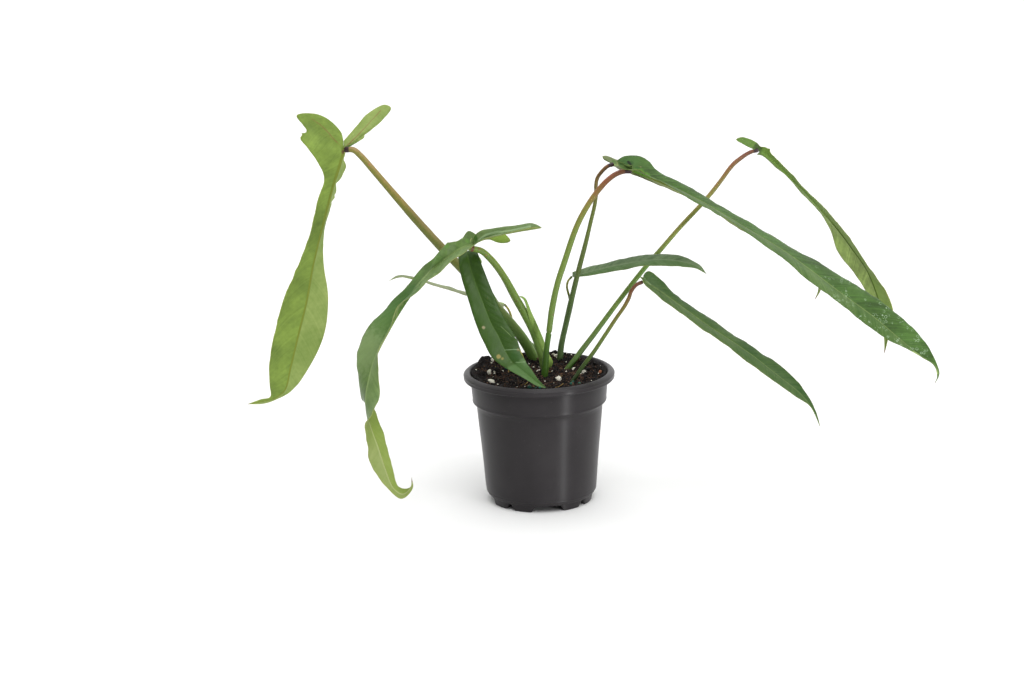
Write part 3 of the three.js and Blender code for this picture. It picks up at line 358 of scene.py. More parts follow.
STALKS = {
    "a": {
        "radii": [3.9, 4.3, 4.2, 4, 3.8, 3.6, 3.43, 3.32, 2.89, 2.64, 2.3],
        "route": [[-3.6, 37, 106.2], [-13.2, 37, 123.5], [-30.4, 38, 145.4], [-46, 41, 164], [-61, 43, 181],
            [-77.4, 45.9, 198.7], [-94.7, 48.9, 218.5], [-112.9, 51.8, 240.3], [-128.3, 54.7, 258.9],
            [-138.2, 56, 270.8], [-144, 56.5, 275.9], [-150.6, 58.2, 276]],
    },
    "b": {
        "radii": [3.7, 3.7, 3.55, 3.45, 3.3, 2.84, 2.66, 2.3],
        "route": [[5.2, 22, 101.2], [3, 20, 112.6], [-4.8, 15.2, 136.7], [-18.8, 8, 166.1],
            [-24.6, 3.9, 178.7], [-30.6, -0.1, 189.6], [-36.3, -3.1, 197.7], [-43.2, -6, 204.9],
            [-52.1, -9, 208.1]],
    },
    "c": {
        "radii": [2.4, 2.2, 2, 1.8, 1.2],
        "route": [[6, 42, 105], [-8, 45, 117], [-20, 47.5, 131], [-30, 49, 145], [-38, 48, 159],
            [-44, 45, 172], [-50, 36, 182], [-54, 26.3, 187]],
    },
    "d": {
        "radii": [2.3, 2.3, 2.3, 2.35, 2.45, 2.43, 2.35, 2.32, 2.29, 2.21, 2.2, 2.05, 2.03],
        "route": [[4.4, -1, 101.8], [6.3, 0, 122], [8.5, 1, 136.4], [11.3, 2, 154.9], [16, 1.9, 175.6],
            [21.8, 2.9, 192.7], [29.9, 3, 216.1], [35.2, 3, 227.9], [42.1, 2, 239.9], [48.4, 2, 248.6],
            [55.9, 1, 257.1], [62.9, 0.6, 262.3], [69.1, 0, 264.6], [74.6, 0, 264.8]],
    },
    "e": {
        "radii": [2.45, 2.45, 2.45, 2.32, 2.38, 2.15, 2.04, 1.91, 1.71, 1.55, 1.52, 1.51, 1.5],
        "route": [[17.5, 36, 105.1], [18.7, 32, 117.3], [23.1, 29.1, 137.3], [28.9, 25, 162.9],
            [33.8, 22, 183.1], [39.2, 19, 204], [43, 17, 220], [46.5, 15, 234.8], [47.8, 14, 244],
            [47.7, 13, 251], [48.9, 13, 257.1], [53, 12, 263], [57, 12, 266.5], [61.3, 12.5, 268]],
    },
    "f": {
        "radii": [2.17, 2.17, 2.14, 2.07, 2.02, 2.01, 1.97, 1.87, 1.83, 1.79, 1.74, 1.79, 1.5],
        "route": [[24, 23, 101], [45.1, 31, 126], [65.8, 36.3, 152], [86.3, 41, 176.6], [100.2, 43.9, 191.8],
            [116, 47.3, 209], [131.4, 50, 224.5], [140.6, 52.1, 234.3], [150.5, 54.1, 246.4],
            [155.6, 55.1, 253.2], [160, 56, 258], [164.7, 57, 261.5], [169.7, 58, 264.7],
            [174.5, 58.5, 266.9], [179.1, 58.8, 267.7]],
    },
    "g": {
        "radii": [1.4, 1.2, 1.1, 1, 0.8],
        "route": [[16.9, 43, 104.5], [20.8, 41, 120.8], [24.4, 37, 136.9], [26.9, 34, 150], [25.8, 32, 157],
            [24, 30, 166], [25, 29, 171], [27.8, 28, 174.5]],
    },
    "h": {
        "radii": [1.65, 1.65, 1.65, 1.65, 1.65, 1.63, 1.59, 1.56, 1.54, 1.53, 1.57, 1.53, 1.47],
        "route": [[27, -18, 102], [34.1, -16, 111.9], [42.9, -15, 123.1], [51.1, -12.9, 134.6],
            [60.7, -11.1, 148.6], [68.1, -10, 158.9], [71.6, -9, 165.2], [73.5, -8.5, 170.3],
            [77.6, -8.5, 175.5], [82.2, -8.3, 177.5]],
    },
    "i": {
        "radii": [1.4, 1.2, 1, 0.9, 0.85],
        "route": [[-4, 47, 102], [-9, 50, 116], [-14, 52, 125], [-20.1, 53.5, 133.1], [-21.6, 54, 138.4],
            [-23.4, 54, 142.8], [-26.2, 54, 146.5]],
    },
}
CATAPHYLL = {
    "midrib": [[7.7, 19.4, 101.5], [9.6, 18.4, 107.5], [6.7, 17.3, 113.9], [4.2, 16.1, 119.9],
        [1.8, 14.6, 127.1], [-1, 13.1, 135], [-4.2, 11, 143.8], [-6.6, 9.1, 151.7], [-8.5, 7.5, 158.2],
        [-10, 6.5, 162.3], [-12.2, 6, 164.1], [-14.4, 5, 164.9]],
    "leftEdge": [[5.8, 18.3, 102.2], [7, 17.1, 108.8], [4, 16, 114.9], [1.7, 14.9, 120.6],
        [-0.8, 13.5, 127.7], [-3.8, 11.9, 135.6], [-6.6, 9.9, 144.3], [-8.3, 7.9, 152.2], [-9.7, 6.4, 158.5],
        [-11, 5.5, 162], [-12.4, 5.2, 163.6]],
    "rightEdge": [[9.3, 21.2, 101], [11.5, 20.4, 106], [8.8, 19.2, 112.7], [6.4, 18, 118.9],
        [4.2, 16.5, 126.4], [1.4, 14.9, 134.3], [-2, 12.9, 143.1], [-5.2, 10.9, 151], [-7.4, 9.3, 157.6],
        [-9.2, 8.2, 162], [-12.1, 6.4, 164.8]],
}
# Grains that can be told apart in the photo: [x, y, radius] in millimetres
PERLITE = [[-39.8, -4.2, 2.5], [-37.7, -23.4, 2.1], [-36.9, 27.3, 1.9], [-35.3, 10.8, 1.1],
    [-28.7, 15.7, 0.9], [15, -13.9, 2.3], [28.3, 18.5, 1.4], [36.5, 6.7, 1.5], [14.4, 39.6, 1.3],
    [15.5, 36.5, 0.9], [12, 43, 1.1], [-0.8, 12, 1.2], [-3.3, 34.8, 0.9], [0.4, 35.9, 0.8], [27, 43.8, 0.8],
    [16.4, 27.4, 0.9], [-35.6, -1.5, 0.8], [-37.8, 21.1, 0.8], [-49.9, 5.6, 0.7], [21.5, 6, 0.6],
    [4.4, -17.6, 0.6]]
PRILLS = [[-34.2, 16.2, 1.1], [-26.2, 18.6, 1], [-8.1, -42, 1.7], [-3.1, -43.7, 1.1], [-0.1, -50.6, 1],
    [24.4, -37.2, 1.3], [26.3, -23.3, 1.1], [31, -35.2, 1.2]]
BARK = [[48.1, -9.9, 2]]

# What sets each leaf apart. Zones are (from, to, colour, strength) in shares of the length, spots are
# (point, reach, colour, strength) and strokes (points, reach, colour, strength), in millimetres. Some of
# them are painted shade in folds and hollows, and painted highlights and sheen.
LEAF_LOOKS = {
    "a": {
        "gloss": 0.46, "veins": 0.05, "rib_width": 1.3, "margin": 0.6, "margin_colour": (176, 178, 100),
        "sheen": 0.35, "streaks": 0.4,
        "spots": [
            ((-152.2, 59, 274), 2.6, (92, 62, 42), 0.8),
        ],
        "strokes": [
            (((-153.2, 58.4, 278.2), (-158.4, 55.5, 284.1), (-163.9, 52.4, 292), (-169.4, 49.4, 298.3),
                (-175.3, 46.1, 303.4)), 0.45, (118, 100, 52), 0.8),
            (((-159.9, 54.5, 285.9), (-164.5, 52.6, 288.4), (-170.6, 50.1, 290.6)), 0.35, (122, 124, 58),
                0.5),
            (((-157.7, 57.3, 273.6), (-163.3, 57.6, 265.5), (-167.1, 57.8, 260.7)), 0.5, (92, 114, 48), 0.6),
            (((-149, 61.2, 278.8), (-142.9, 64.4, 284.1), (-134.8, 68.2, 291.4), (-126.7, 72.5, 299.4),
                (-121.9, 75, 304.1)), 0.5, (126, 100, 62), 0.8),
        ],
    },
    "b": {
        "gloss": 0.4, "veins": 0.03, "rib_width": 1.1, "tip": 0.97, "upper_rib_share": 0.75, "streaks": 0.4,
        "margin": 0.28,
        "spots": [
            # Painted shade: in the fold where the near ear meets the blade, beside a bump in the far edge,
            # and near the stalk
            ((-48.1, -8.9, 215.8), 3.4, (58, 98, 24), 0.9),
            ((-70.2, -16.5, 212), 3, (70, 112, 34), 0.7),
            ((-53.5, -8.4, 214.1), 3, (84, 126, 46), 0.5),
            ((-3.5, -27.4, 227.5), 0.9, (110, 74, 50), 0.7),
            ((-28.5, 6, 211.1), 12, (116, 150, 50), 0.5),
            # Painted shade and a painted highlight for the blade's broad sheen: dark patches mid-blade, a
            # light one lower down
            ((-109.6, -43.6, 177.8), 26, (50, 88, 28), 0.8),
            ((-117.3, -57.6, 162.4), 22, (72, 108, 46), 0.55),
            ((-134.5, -66.1, 142.8), 26, (134, 156, 104), 0.4),
            ((-82.2, -26.6, 206.5), 12, (64, 104, 40), 0.35),
            ((-95.6, -32.1, 193.8), 10, (66, 106, 40), 0.35),
        ],
        "strokes": [
            (((-48, -1.2, 218.1), (-50.3, -4.2, 216.5), (-51.3, -6.3, 214), (-51.5, -8.4, 212.4)), 0.35,
                (160, 162, 100), 0.8),
            # Painted highlight: a pale streak of sheen along the near ear
            (((-44.9, -11, 215), (-39.3, -12.4, 219), (-30.7, -13.6, 221.5), (-20.5, -17.2, 223.4),
                (-5, -19.6, 226.7)), 0.9, (146, 172, 126), 0.6),
        ],
    },
    "c": {
        "gloss": 0.36, "tip": 0.992, "margin": 0, "veins": 0.03, "rib_width": 0.8, "upper_rib_share": 0.3,
        "zones": [
            # Painted light: the blade is lighter beyond its crease, where it faces up
            (0.7, 0.72, (84, 118, 66), 0.45),
        ],
        "spots": [
            ((-43, -19.8, 146.8), 1.9, (150, 140, 110), 0.85),
            ((-31.6, -32.1, 126.3), 2.4, (148, 132, 74), 0.75),
            ((-28.8, -33.5, 124.8), 1.7, (138, 128, 70), 0.6),
            ((-16.4, -31.2, 131), 1.5, (140, 110, 75), 0.8),
            # Painted shade in the fold of the crease
            ((-18.1, -33.6, 127), 7, (46, 78, 32), 0.75),
        ],
        "strokes": [
            (((-29.3, -20.9, 147.4), (-23.9, -23.5, 142.7), (-18.6, -26.3, 137.6)), 0.22, (130, 150, 100),
                0.5),
            # Painted highlights along the crease lines
            (((-26.5, -28.5, 130.3), (-21.1, -30.4, 131.1), (-15.2, -31.2, 131.3)), 0.4, (116, 142, 104),
                0.6),
            (((-22.1, -35, 122.3), (-16.6, -36.7, 122.3), (-11.2, -37.4, 122.7)), 0.4, (116, 142, 100), 0.55),
            (((-14.8, -31.7, 130.5), (-12.8, -33.7, 127.3), (-10.4, -36.9, 123.7)), 0.4, (140, 130, 60), 0.8),
        ],
    },
    "d": {
        "gloss": 0.4, "tip": 0.97, "veins": 0.02, "rib_width": 0.9, "margin": 0.3, "margin_colour":
        (112, 126, 70), "sheen": 0.22, "upper_rib_share": 0.8, "water": (0.42, 0.6, 0.55),
        "spots": [
            # Painted shade: the dark hollow between the ears, the shade in their cup and under the sinus line
            ((74.5, 5.6, 270.1), 3.2, (14, 30, 10), 1),
            ((70.1, 6.3, 270.7), 6, (46, 80, 30), 0.8),
            ((77.6, 8.2, 271.8), 7, (62, 98, 44), 0.5),
            ((80, 2.8, 266.4), 2.2, (46, 80, 32), 0.8),
            ((81.6, -2.3, 262.2), 7, (80, 128, 32), 0.85),
            ((86.2, -3.1, 259.9), 5, (80, 126, 34), 0.7),
        ],
        "strokes": [
            # Painted shade in the ears' cup, along a fold between them and in the hollow
            (((66.9, -3.9, 271.9), (71.1, 3.3, 270.1), (74.3, 5.6, 270)), 1.4, (46, 80, 34), 0.8),
            (((69.4, 8.7, 273.2), (72.8, 7, 271.3)), 0.5, (62, 98, 46), 0.7),
            (((73.1, 6.4, 270.9), (74.3, 4.8, 269.8), (75.5, -2.2, 269.4)), 1.1, (14, 28, 10), 1),
            (((75.8, 4.2, 269.2), (78.9, 3.7, 268.5), (82.8, 4.1, 267)), 0.35, (140, 125, 90), 0.8),
            (((63.5, -4.2, 273.2), (64.2, -5.4, 271.5), (65.9, -6.6, 269.3), (68.2, -8.1, 268.3)), 0.35,
                (150, 140, 95), 0.7),
            (((82.4, -10.3, 267.2), (84.3, -10.6, 265.7), (85.8, -11.5, 264)), 0.35, (130, 138, 76), 0.7),
            (((288.6, -53.2, 127.9), (298.4, -50.7, 121), (304.4, -52.2, 115.6), (308, -52.6, 110.4)), 1,
                (150, 166, 100), 0.7),
        ],
    },
    "e": {
        "gloss": 0.4, "tip": 0.96, "margin_colour": (128, 112, 70),
        "spots": [
            ((62.7, 17.3, 268.8), 3.2, (70, 104, 34), 0.8),
        ],
        "strokes": [
            (((61.6, 10.2, 266.6), (64.2, 8.2, 265.6), (67.4, 8.6, 264.5)), 0.4, (110, 90, 50), 0.7),
        ],
    },
    "f": {
        "gloss": 0.44, "tip": 0.97, "rib_width": 1.1, "veins": 0.03, "streaks": 0.7, "rib_from": (0.36, 0.46),
        "zones": [
            (0.45, 0.32, (90, 126, 42), 0.5),
        ],
        "spots": [
            ((165.4, 54.4, 277.6), 16, (88, 118, 50), 0.6),
            ((172.8, 56.9, 274.2), 16, (78, 108, 46), 0.6),
            ((179, 59.4, 269.9), 5, (40, 56, 26), 0.75),
        ],
        "strokes": [
            (((281.5, 78.9, 148.1), (288.5, 77.9, 139.7)), 0.4, (138, 128, 70), 0.6),
        ],
    },
    "g": {
        "gloss": 0.5, "margin": 0.2, "veins": 0.03, "upper_rib_share": 0.4, "sheen": 0.25,
    },
    "h": {
        "gloss": 0.4, "margin": 0.3, "rib_width": 0.8, "veins": 0.03, "upper_rib_share": 0.45, "sheen": 0.22,
        "spots": [
            ((85, -5.4, 182.9), 3, (48, 76, 34), 0.5),
        ],
        "strokes": [
            (((85.7, -6.6, 179.5), (88.9, -5.4, 180), (91, -3.6, 182.3)), 0.45, (52, 80, 38), 0.65),
            (((84.1, -7.1, 180.1), (88.3, -8.8, 176), (92.8, -12.3, 172.7)), 0.4, (128, 150, 110), 0.5),
        ],
    },
    "i": {
        "gloss": 0.46, "margin": 0.2,
    },
}
# The ring below each blade: its colour, length and start in millimetres from the stalk's end; spots as above
STALK_LOOKS = {
    "a": {"ring_length": 3.6,
          "spots": [
              ((-131.5, 52.7, 264.5), 1.6, (146, 92, 62), 0.7),
          ]},
    "b": {"ring": (100, 60, 44), "ring_length": 3.0, "ring_start": 0.8,
          "spots": [
              ((-44.7, -8.9, 207.4), 1.3, (128, 92, 52), 0.7),
              ((-39.7, -7.3, 201.5), 1.5, (124, 100, 52), 0.6),
              ((-16.6, 6.1, 160.9), 1.2, (92, 74, 48), 0.85),
          ]},
    "c": {"ring": (84, 96, 48)},
    "d": {"ring_length": 4.6,
          "spots": [
              ((12.5, -0.2, 150.8), 1.2, (104, 80, 48), 0.8),
          ]},
    "e": {"ring_length": 4.0},
    "f": {"ring_length": 3.4},
    "g": {"ring": (84, 96, 48)},
    "h": {"ring": (86, 52, 48), "ring_length": 1.2},
    "i": {"ring": (104, 108, 56)},
}


def noise(points, seed):
    """Smooth noise from -1 to 1 at points given in cells."""
    points = np.asarray(points, float)
    base = np.floor(points).astype(np.int64)
    blend = points - base
    blend = blend * blend * (3 - 2 * blend)
    total = np.zeros(len(points))
    for corner in itertools.product((0, 1), repeat=3):
        cell = base + np.array(corner)
        mixed = (cell[:, 0] * 73856093) ^ (cell[:, 1] * 19349663) ^ (cell[:, 2] * 83492791)
        mixed = mixed ^ (seed * 374761393)
        mixed = ((mixed ^ (mixed >> 13)) * 1274126177) & 0x7FFFFFFF
        mixed = mixed ^ (mixed >> 15)
        weight = np.prod(np.where(corner, blend, 1 - blend), axis=1)
        total += weight * ((mixed % 65536) / 32768 - 1)
    return total


def rough(points, cell, seed, octaves=3):
    """Noise of several sizes, the largest with the given cell in millimetres."""
    total = np.zeros(len(points))
    for octave in range(octaves):
        total += noise(np.asarray(points) / cell * 2 ** octave, seed + octave) / 2 ** octave
    return total


def smoothstep(value, low, high):
    """Smooth change from 0 to 1 while value goes from low to high."""
    share = np.clip((np.asarray(value, float) - low) / (high - low), 0, 1)
    return share * share * (3 - 2 * share)


def spline(points, shares):
    """Smooth curve through the points, evenly shared out between them."""
    points = np.asarray(points, float)
    padded = np.vstack([2 * points[0] - points[1], points, 2 * points[-1] - points[-2]])
    place = np.clip(np.asarray(shares, float), 0, 1) * (len(points) - 1)
    first = np.minimum(place.astype(int), len(points) - 2)
    t = (place - first)[:, None]
    p0, p1, p2, p3 = (padded[first + step] for step in range(4))
    pairs = ((p0, p1), (p1, p2), (p2, p3))
    d0, d1, d2 = (np.sqrt(np.linalg.norm(b - a, axis=1))[:, None] for a, b in pairs)
    m1 = ((p1 - p0) / d0 - (p2 - p0) / (d0 + d1) + (p2 - p1) / d1) * d1
    m2 = ((p2 - p1) / d1 - (p3 - p1) / (d1 + d2) + (p3 - p2) / d2) * d1
    return p1 + m1 * t + (3 * (p2 - p1) - 2 * m1 - m2) * t ** 2 + (2 * (p1 - p2) + m1 + m2) * t ** 3


def unit(vectors):
    """The vectors at length 1."""
    length = np.linalg.norm(vectors, axis=-1, keepdims=True)
    return vectors / np.where(length > 1e-9, length, 1)


def run_of(points):
    """Length along a line of points, up to each of them."""
    return np.concatenate([[0], np.cumsum(np.linalg.norm(np.diff(points, axis=0), axis=1))])


def add_piece(name, points, faces, finishes, which=None, attributes=None, sharp=None):
    """A mesh piece from points in millimetres, which rides on the part's one body."""
    mesh = bpy.data.meshes.new(name)
    mesh.from_pydata((np.asarray(points, float) * MM).tolist(), [], faces)
    for finish in finishes:
        mesh.materials.append(finish)
    if which is not None:
        mesh.polygons.foreach_set("material_index", np.asarray(which, np.int32))
    mesh.polygons.foreach_set("use_smooth", np.ones(len(mesh.polygons), bool))
    for key, values in (attributes or {}).items():
        layer = mesh.attributes.new(key, "FLOAT", "POINT")
        layer.data.foreach_set("value", np.asarray(values, np.float32))
    if sharp is not None:
        mesh.set_sharp_from_angle(angle=math.radians(sharp))
    mesh.validate()
    piece = bpy.data.objects.new(name, mesh)
    bpy.context.scene.collection.objects.link(piece)
    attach(piece, "root")
    return piece


class Finish:
    """One procedural material: a Principled shader and the nodes that feed it."""

    def __init__(self, name, **fixed):
        self.material = bpy.data.materials.new(name)
        self.material.use_nodes = True
        self.tree = self.material.node_tree
        self.shader = self.tree.nodes["Principled BSDF"]
        for key, value in fixed.items():
            self.shader.inputs[key.replace("_", " ")].default_value = value

    def node(self, kind):
        return self.tree.nodes.new("ShaderNode" + kind)

    def put(self, value, socket):
        """Links a value from another node, or sets a number or a colour."""
        if isinstance(value, bpy.types.NodeSocket):
            self.tree.links.new(value, socket)
        elif isinstance(value, tuple):
            socket.default_value = light_of(value)
        else:
            socket.default_value = value

    def feed(self, key, value):
        self.put(value, self.shader.inputs[key])

    def math(self, operation, first, second=0.0):
        node = self.node("Math")
        node.operation = operation
        self.put(first, node.inputs[0])
        self.put(second, node.inputs[1])
        return node.outputs[0]

    def plus(self, first, second):
        return self.math("ADD", first, second)

    def times(self, first, second):
        return self.math("MULTIPLY", first, second)

    def uneven(self, value, fuzz, amount):
        """The value, moved by up to half the amount to either side by a fuzz from 0 to 1."""
        return self.plus(value, self.times(self.math("SUBTRACT", fuzz, 0.5), amount))

    def step(self, value, low, high, start=0.0, end=1.0):
        """Smooth change from start to end while value goes from low to high."""
        node = self.node("MapRange")
        node.interpolation_type = "SMOOTHSTEP"
        keys = ("Value", "From Min", "From Max", "To Min", "To Max")
        for key, entry in zip(keys, (value, low, high, start, end)):
            self.put(entry, node.inputs[key])
        return node.outputs[0]

    def mix(self, share, first, second):
        node = self.node("Mix")
        node.data_type = "RGBA"
        self.put(share, node.inputs[0])
        self.put(first, node.inputs[6])
        self.put(second, node.inputs[7])
        return node.outputs[2]

    def paint(self, colour, mask, shade, strength):
        """The colour with a shade laid over it where the mask is 1."""
        return self.mix(self.times(mask, strength), colour, shade)

    def attribute(self, name):
        node = self.node("Attribute")
        node.attribute_name = name
        return node.outputs["Fac"]

    def place(self):
        return self.node("TexCoord").outputs["Object"]

    def vector(self, x, y, z=0.0):
        node = self.node("CombineXYZ")
        for entry, socket in zip((x, y, z), node.inputs):
            self.put(entry, socket)
        return node.outputs[0]

    def noise(self, size, detail=3, where=None):
        """Noise from 0 to 1, with features of about the given size: in millimetres, or in units of where."""
        node = self.node("TexNoise")
        node.inputs["Scale"].default_value = 1 / (size * MM) if where is None else 1 / size
        node.inputs["Detail"].default_value = detail
        self.put(self.place() if where is None else where, node.inputs["Vector"])
        return node.outputs["Fac"]

    def cells(self, size):
        """Distance to the nearest of scattered points, in cells of the given size in millimetres."""
        node = self.node("TexVoronoi")
        node.inputs["Scale"].default_value = 1 / (size * MM)
        self.put(self.place(), node.inputs["Vector"])
        return node.outputs["Distance"]

    def ramp(self, value, colours):
        """Colours along a stalk, for a value that says how far up it is."""
        places = TONE_PLACES if len(colours) == len(TONE_PLACES) else (0, 1)
        node = self.node("ValToRGB")
        elements = node.color_ramp.elements
        while len(elements) < len(colours):
            elements.new(1)
        for element, place, colour in zip(elements, places, colours):
            element.position = place
            element.color = light_of(colour)
        self.put(value, node.inputs[0])
        return node.outputs[0]

    def near(self, point, reach, fuzz):
        """1 within reach of a point, in millimetres, with an edge made uneven by fuzz."""
        node = self.node("VectorMath")
        node.operation = "DISTANCE"
        self.put(self.place(), node.inputs[0])
        node.inputs[1].default_value = [entry * MM for entry in point]
        distance = self.plus(node.outputs["Value"], self.times(fuzz, reach * MM))
        return self.step(distance, reach * 1.5 * MM, reach * 0.9 * MM)

    def stroke(self, points, reach, fuzz):
        """1 near the line through points, in millimetres, with an edge made uneven by fuzz."""
        nearest = None
        for start, end in zip(points, points[1:]):
            start, way = Vector(start) * MM, (Vector(end) - Vector(start)) * MM
            offset, along, foot, gap = (self.node("VectorMath") for _ in range(4))
            offset.operation, along.operation = "SUBTRACT", "DOT_PRODUCT"
            foot.operation, gap.operation = "SCALE", "DISTANCE"
            self.put(self.place(), offset.inputs[0])
            offset.inputs[1].default_value = start
            self.put(offset.outputs[0], along.inputs[0])
            along.inputs[1].default_value = way / way.length_squared * MM
            share = self.times(along.outputs["Value"], 1 / MM)
            share = self.math("MINIMUM", self.math("MAXIMUM", share, 0.0), 1.0)
            foot.inputs[0].default_value = way
            self.put(share, foot.inputs["Scale"])
            self.put(offset.outputs[0], gap.inputs[0])
            self.put(foot.outputs[0], gap.inputs[1])
            distance = gap.outputs["Value"]
            nearest = distance if nearest is None else self.math("MINIMUM", nearest, distance)
        distance = self.plus(nearest, self.times(fuzz, reach * MM))
        return self.step(distance, reach * 1.9 * MM, reach * 1.1 * MM)

    def bump(self, height, depth):
        """Relief of the given depth in millimetres for a height from 0 to 1."""
        node = self.node("Bump")
        node.inputs["Distance"].default_value = depth * MM
        self.put(height, node.inputs["Height"])
        self.put(node.outputs[0], self.shader.inputs["Normal"])


def light_of(colour):
    """Light of a screen colour, whose channels go from 0 to 255, and full opacity."""
    shares = [channel / 255 for channel in colour]
    return *(share / 12.92 if share <= 0.04045 else ((share + 0.055) / 1.055) ** 2.4 for share in shares), 1


def around(sides):
    """Evenly spaced angles of one full turn."""
    return np.arange(sides) / sides * 2 * np.pi


def ring_grid(rows, sides):
    """Numbers of the points of rows that close on themselves, each one's neighbour, and the faces between."""
    index = np.arange(rows * sides).reshape(rows, sides)
    turned = np.roll(index, -1, axis=1)
    return index, turned, np.stack([index[:-1], turned[:-1], turned[1:], index[1:]], axis=-1).reshape(-1, 4)


def blade_rows(blade, side, shares):
    """One half of a blade as rows of points from the midrib out to the edge, behind the stalk first."""
    sign = 1 if side == "left" else -1
    mid = np.array(blade["midrib"], float)
    ear = blade.get(side + "Ear", [])
    edge_points = np.array([*ear, *blade[side + "Edge"], mid[-1]], float)
    last, stations = len(edge_points) - 1, len(mid) - 1
    station = shares * stations
    if ear:
        fine = np.linspace(0, len(ear), len(ear) * SPLINE_STEPS + 1)
        run = run_of(spline(edge_points, fine / last))
        rows = max(int(run[-1] / BLADE_ROW * FINE), 6)
        ear_station = np.interp(np.linspace(0, run[-1], rows + 1), run, fine)[:-1] - len(ear)
        station = np.concatenate([ear_station, station])
    share = np.maximum(station, 0) / stations
    foot = spline(mid, share)
    edge = spline(edge_points, (station + len(ear)) / last)
    reach = edge - foot
    for nick_side, centre, half_width, inward, lift in blade.get("nicks", ()):
        if nick_side == side:
            bell = np.exp(-((station - centre) / half_width) ** 2)[:, None]
            reach = reach * (1 - inward * bell) + bell * np.array([0, lift, 0])
    tangent = spline(mid, share + 1e-4) - spline(mid, share - 1e-4)
    normal = unit(np.cross(tangent, reach)) * sign
    height, waves = blade.get("ruffle", (0, 1))
    fade = smoothstep(station, 0, 1.5) * (1 - share ** 6)
    wave = height * np.sin(share * waves * 2 * np.pi + (0 if side == "left" else 2))
    width = np.linalg.norm(reach, axis=1)
    across = (np.arange(COLUMNS + 1) / COLUMNS) ** 1.5
    bow = (fade * width * blade.get("arch", ARCH))[:, None] * 4 * across * (1 - across)
    bow = bow + (fade * wave)[:, None] * across ** 3
    points = foot[:, None] + reach[:, None] * across[:, None] + normal[:, None] * bow[..., None]
    neck = blade.get("neck", {}).get(side)
    if neck is not None:
        length = np.linalg.norm(np.array(neck) - mid[0])
        sway = smoothstep(-station, 0, 1.2) * smoothstep(width, 0.5 * length, 1.6 * length)
        points = points + ((np.array(neck) - (foot + edge) / 2) * sway[:, None])[:, None] * (
            2 * across * (1 - across))[:, None]
    run = run_of(edge)
    ear_rows = int(np.sum(station < 0))
    back = np.where(station < 0, run[ear_rows] - run, 0)
    off = width[:, None] * across
    mid_run = run_of(spline(mid, shares))[np.maximum(np.arange(len(station)) - ear_rows, 0)]
    vein = mid_run[:, None] - VEIN_SLANT * off - VEIN_CURVE * off ** 2 - 0.6 * back[:, None] * across
    rim = width[:, None] * (1 - across)
    from_sinus = run[:, None] * across
    rim = np.where(np.arange(len(station))[:, None] < ear_rows, np.minimum(rim, from_sinus + 0.2), rim)
    share_grid = np.repeat(share[:, None], COLUMNS + 1, axis=1)
    return {"points": points, "ear_rows": ear_rows, "vein": vein, "off": off, "rim": rim,
            "share": share_grid, "side": np.full_like(off, -sign)}


def blade_surface(blade):
    """Middle surface of a blade: points, faces and what the shaders need to know at each point."""
    mid = np.array(blade["midrib"], float)
    fine = np.linspace(0, 1, len(mid) * SPLINE_STEPS)
    run = run_of(spline(mid, fine))
    rows = int(run[-1] / BLADE_ROW * FINE)
    shares = np.interp(np.linspace(0, run[-1], rows + 1), run, fine)
    centre = spline(mid, shares)
    zero = np.zeros(len(centre))
    values = {"points": [centre], "vein": [run_of(centre)], "off": [zero], "rim": [zero + 20],
              "share": [shares], "side": [zero]}
    faces = []
    count = len(centre)
    for side in ("left", "right"):
        half = blade_rows(blade, side, shares)
        total = len(half["points"]) - 1
        grid = np.empty((total + 1, COLUMNS + 1), int)
        grid[:, 0] = np.maximum(np.arange(total + 1) - half["ear_rows"], 0)
        grid[:total, 1:] = count + np.arange(total * COLUMNS).reshape(total, COLUMNS)
        grid[total] = rows
        values["points"].append(half["points"][:total, 1:].reshape(-1, 3))
        for key in POINT_VALUES:
            values[key].append(half[key][:total, 1:].ravel())
        count += total * COLUMNS
        near, far = grid[:-1, :-1].ravel(), grid[:-1, 1:].ravel()
        near_next, far_next = grid[1:, :-1].ravel(), grid[1:, 1:].ravel()
        order = (near, near_next, far_next, far)
        faces += np.stack(order if side == "left" else (near, far, far_next, near_next), axis=1).tolist()
    values = {key: np.concatenate(entries) for key, entries in values.items()}
    values["rim"] = np.minimum(values["rim"], (1 - values["share"]) * run[-1] + 0.1)
    clean = []
    for face in faces:
        loop = [corner for place, corner in enumerate(face) if corner != face[place - 1]]
        if len(loop) > 2:
            clean.append(loop)
    return values, clean


def corner_normals(points, faces):
    """Smooth normal at each point."""
    normals = np.zeros_like(points)
    padded = np.array([face if len(face) == 4 else [*face, face[-1]] for face in faces])
    a, b, c, d = (points[padded[:, place]] for place in range(4))
    flat = np.cross(c - a, d - b)
    for place in range(4):
        np.add.at(normals, padded[:, place], flat)
    return unit(normals)


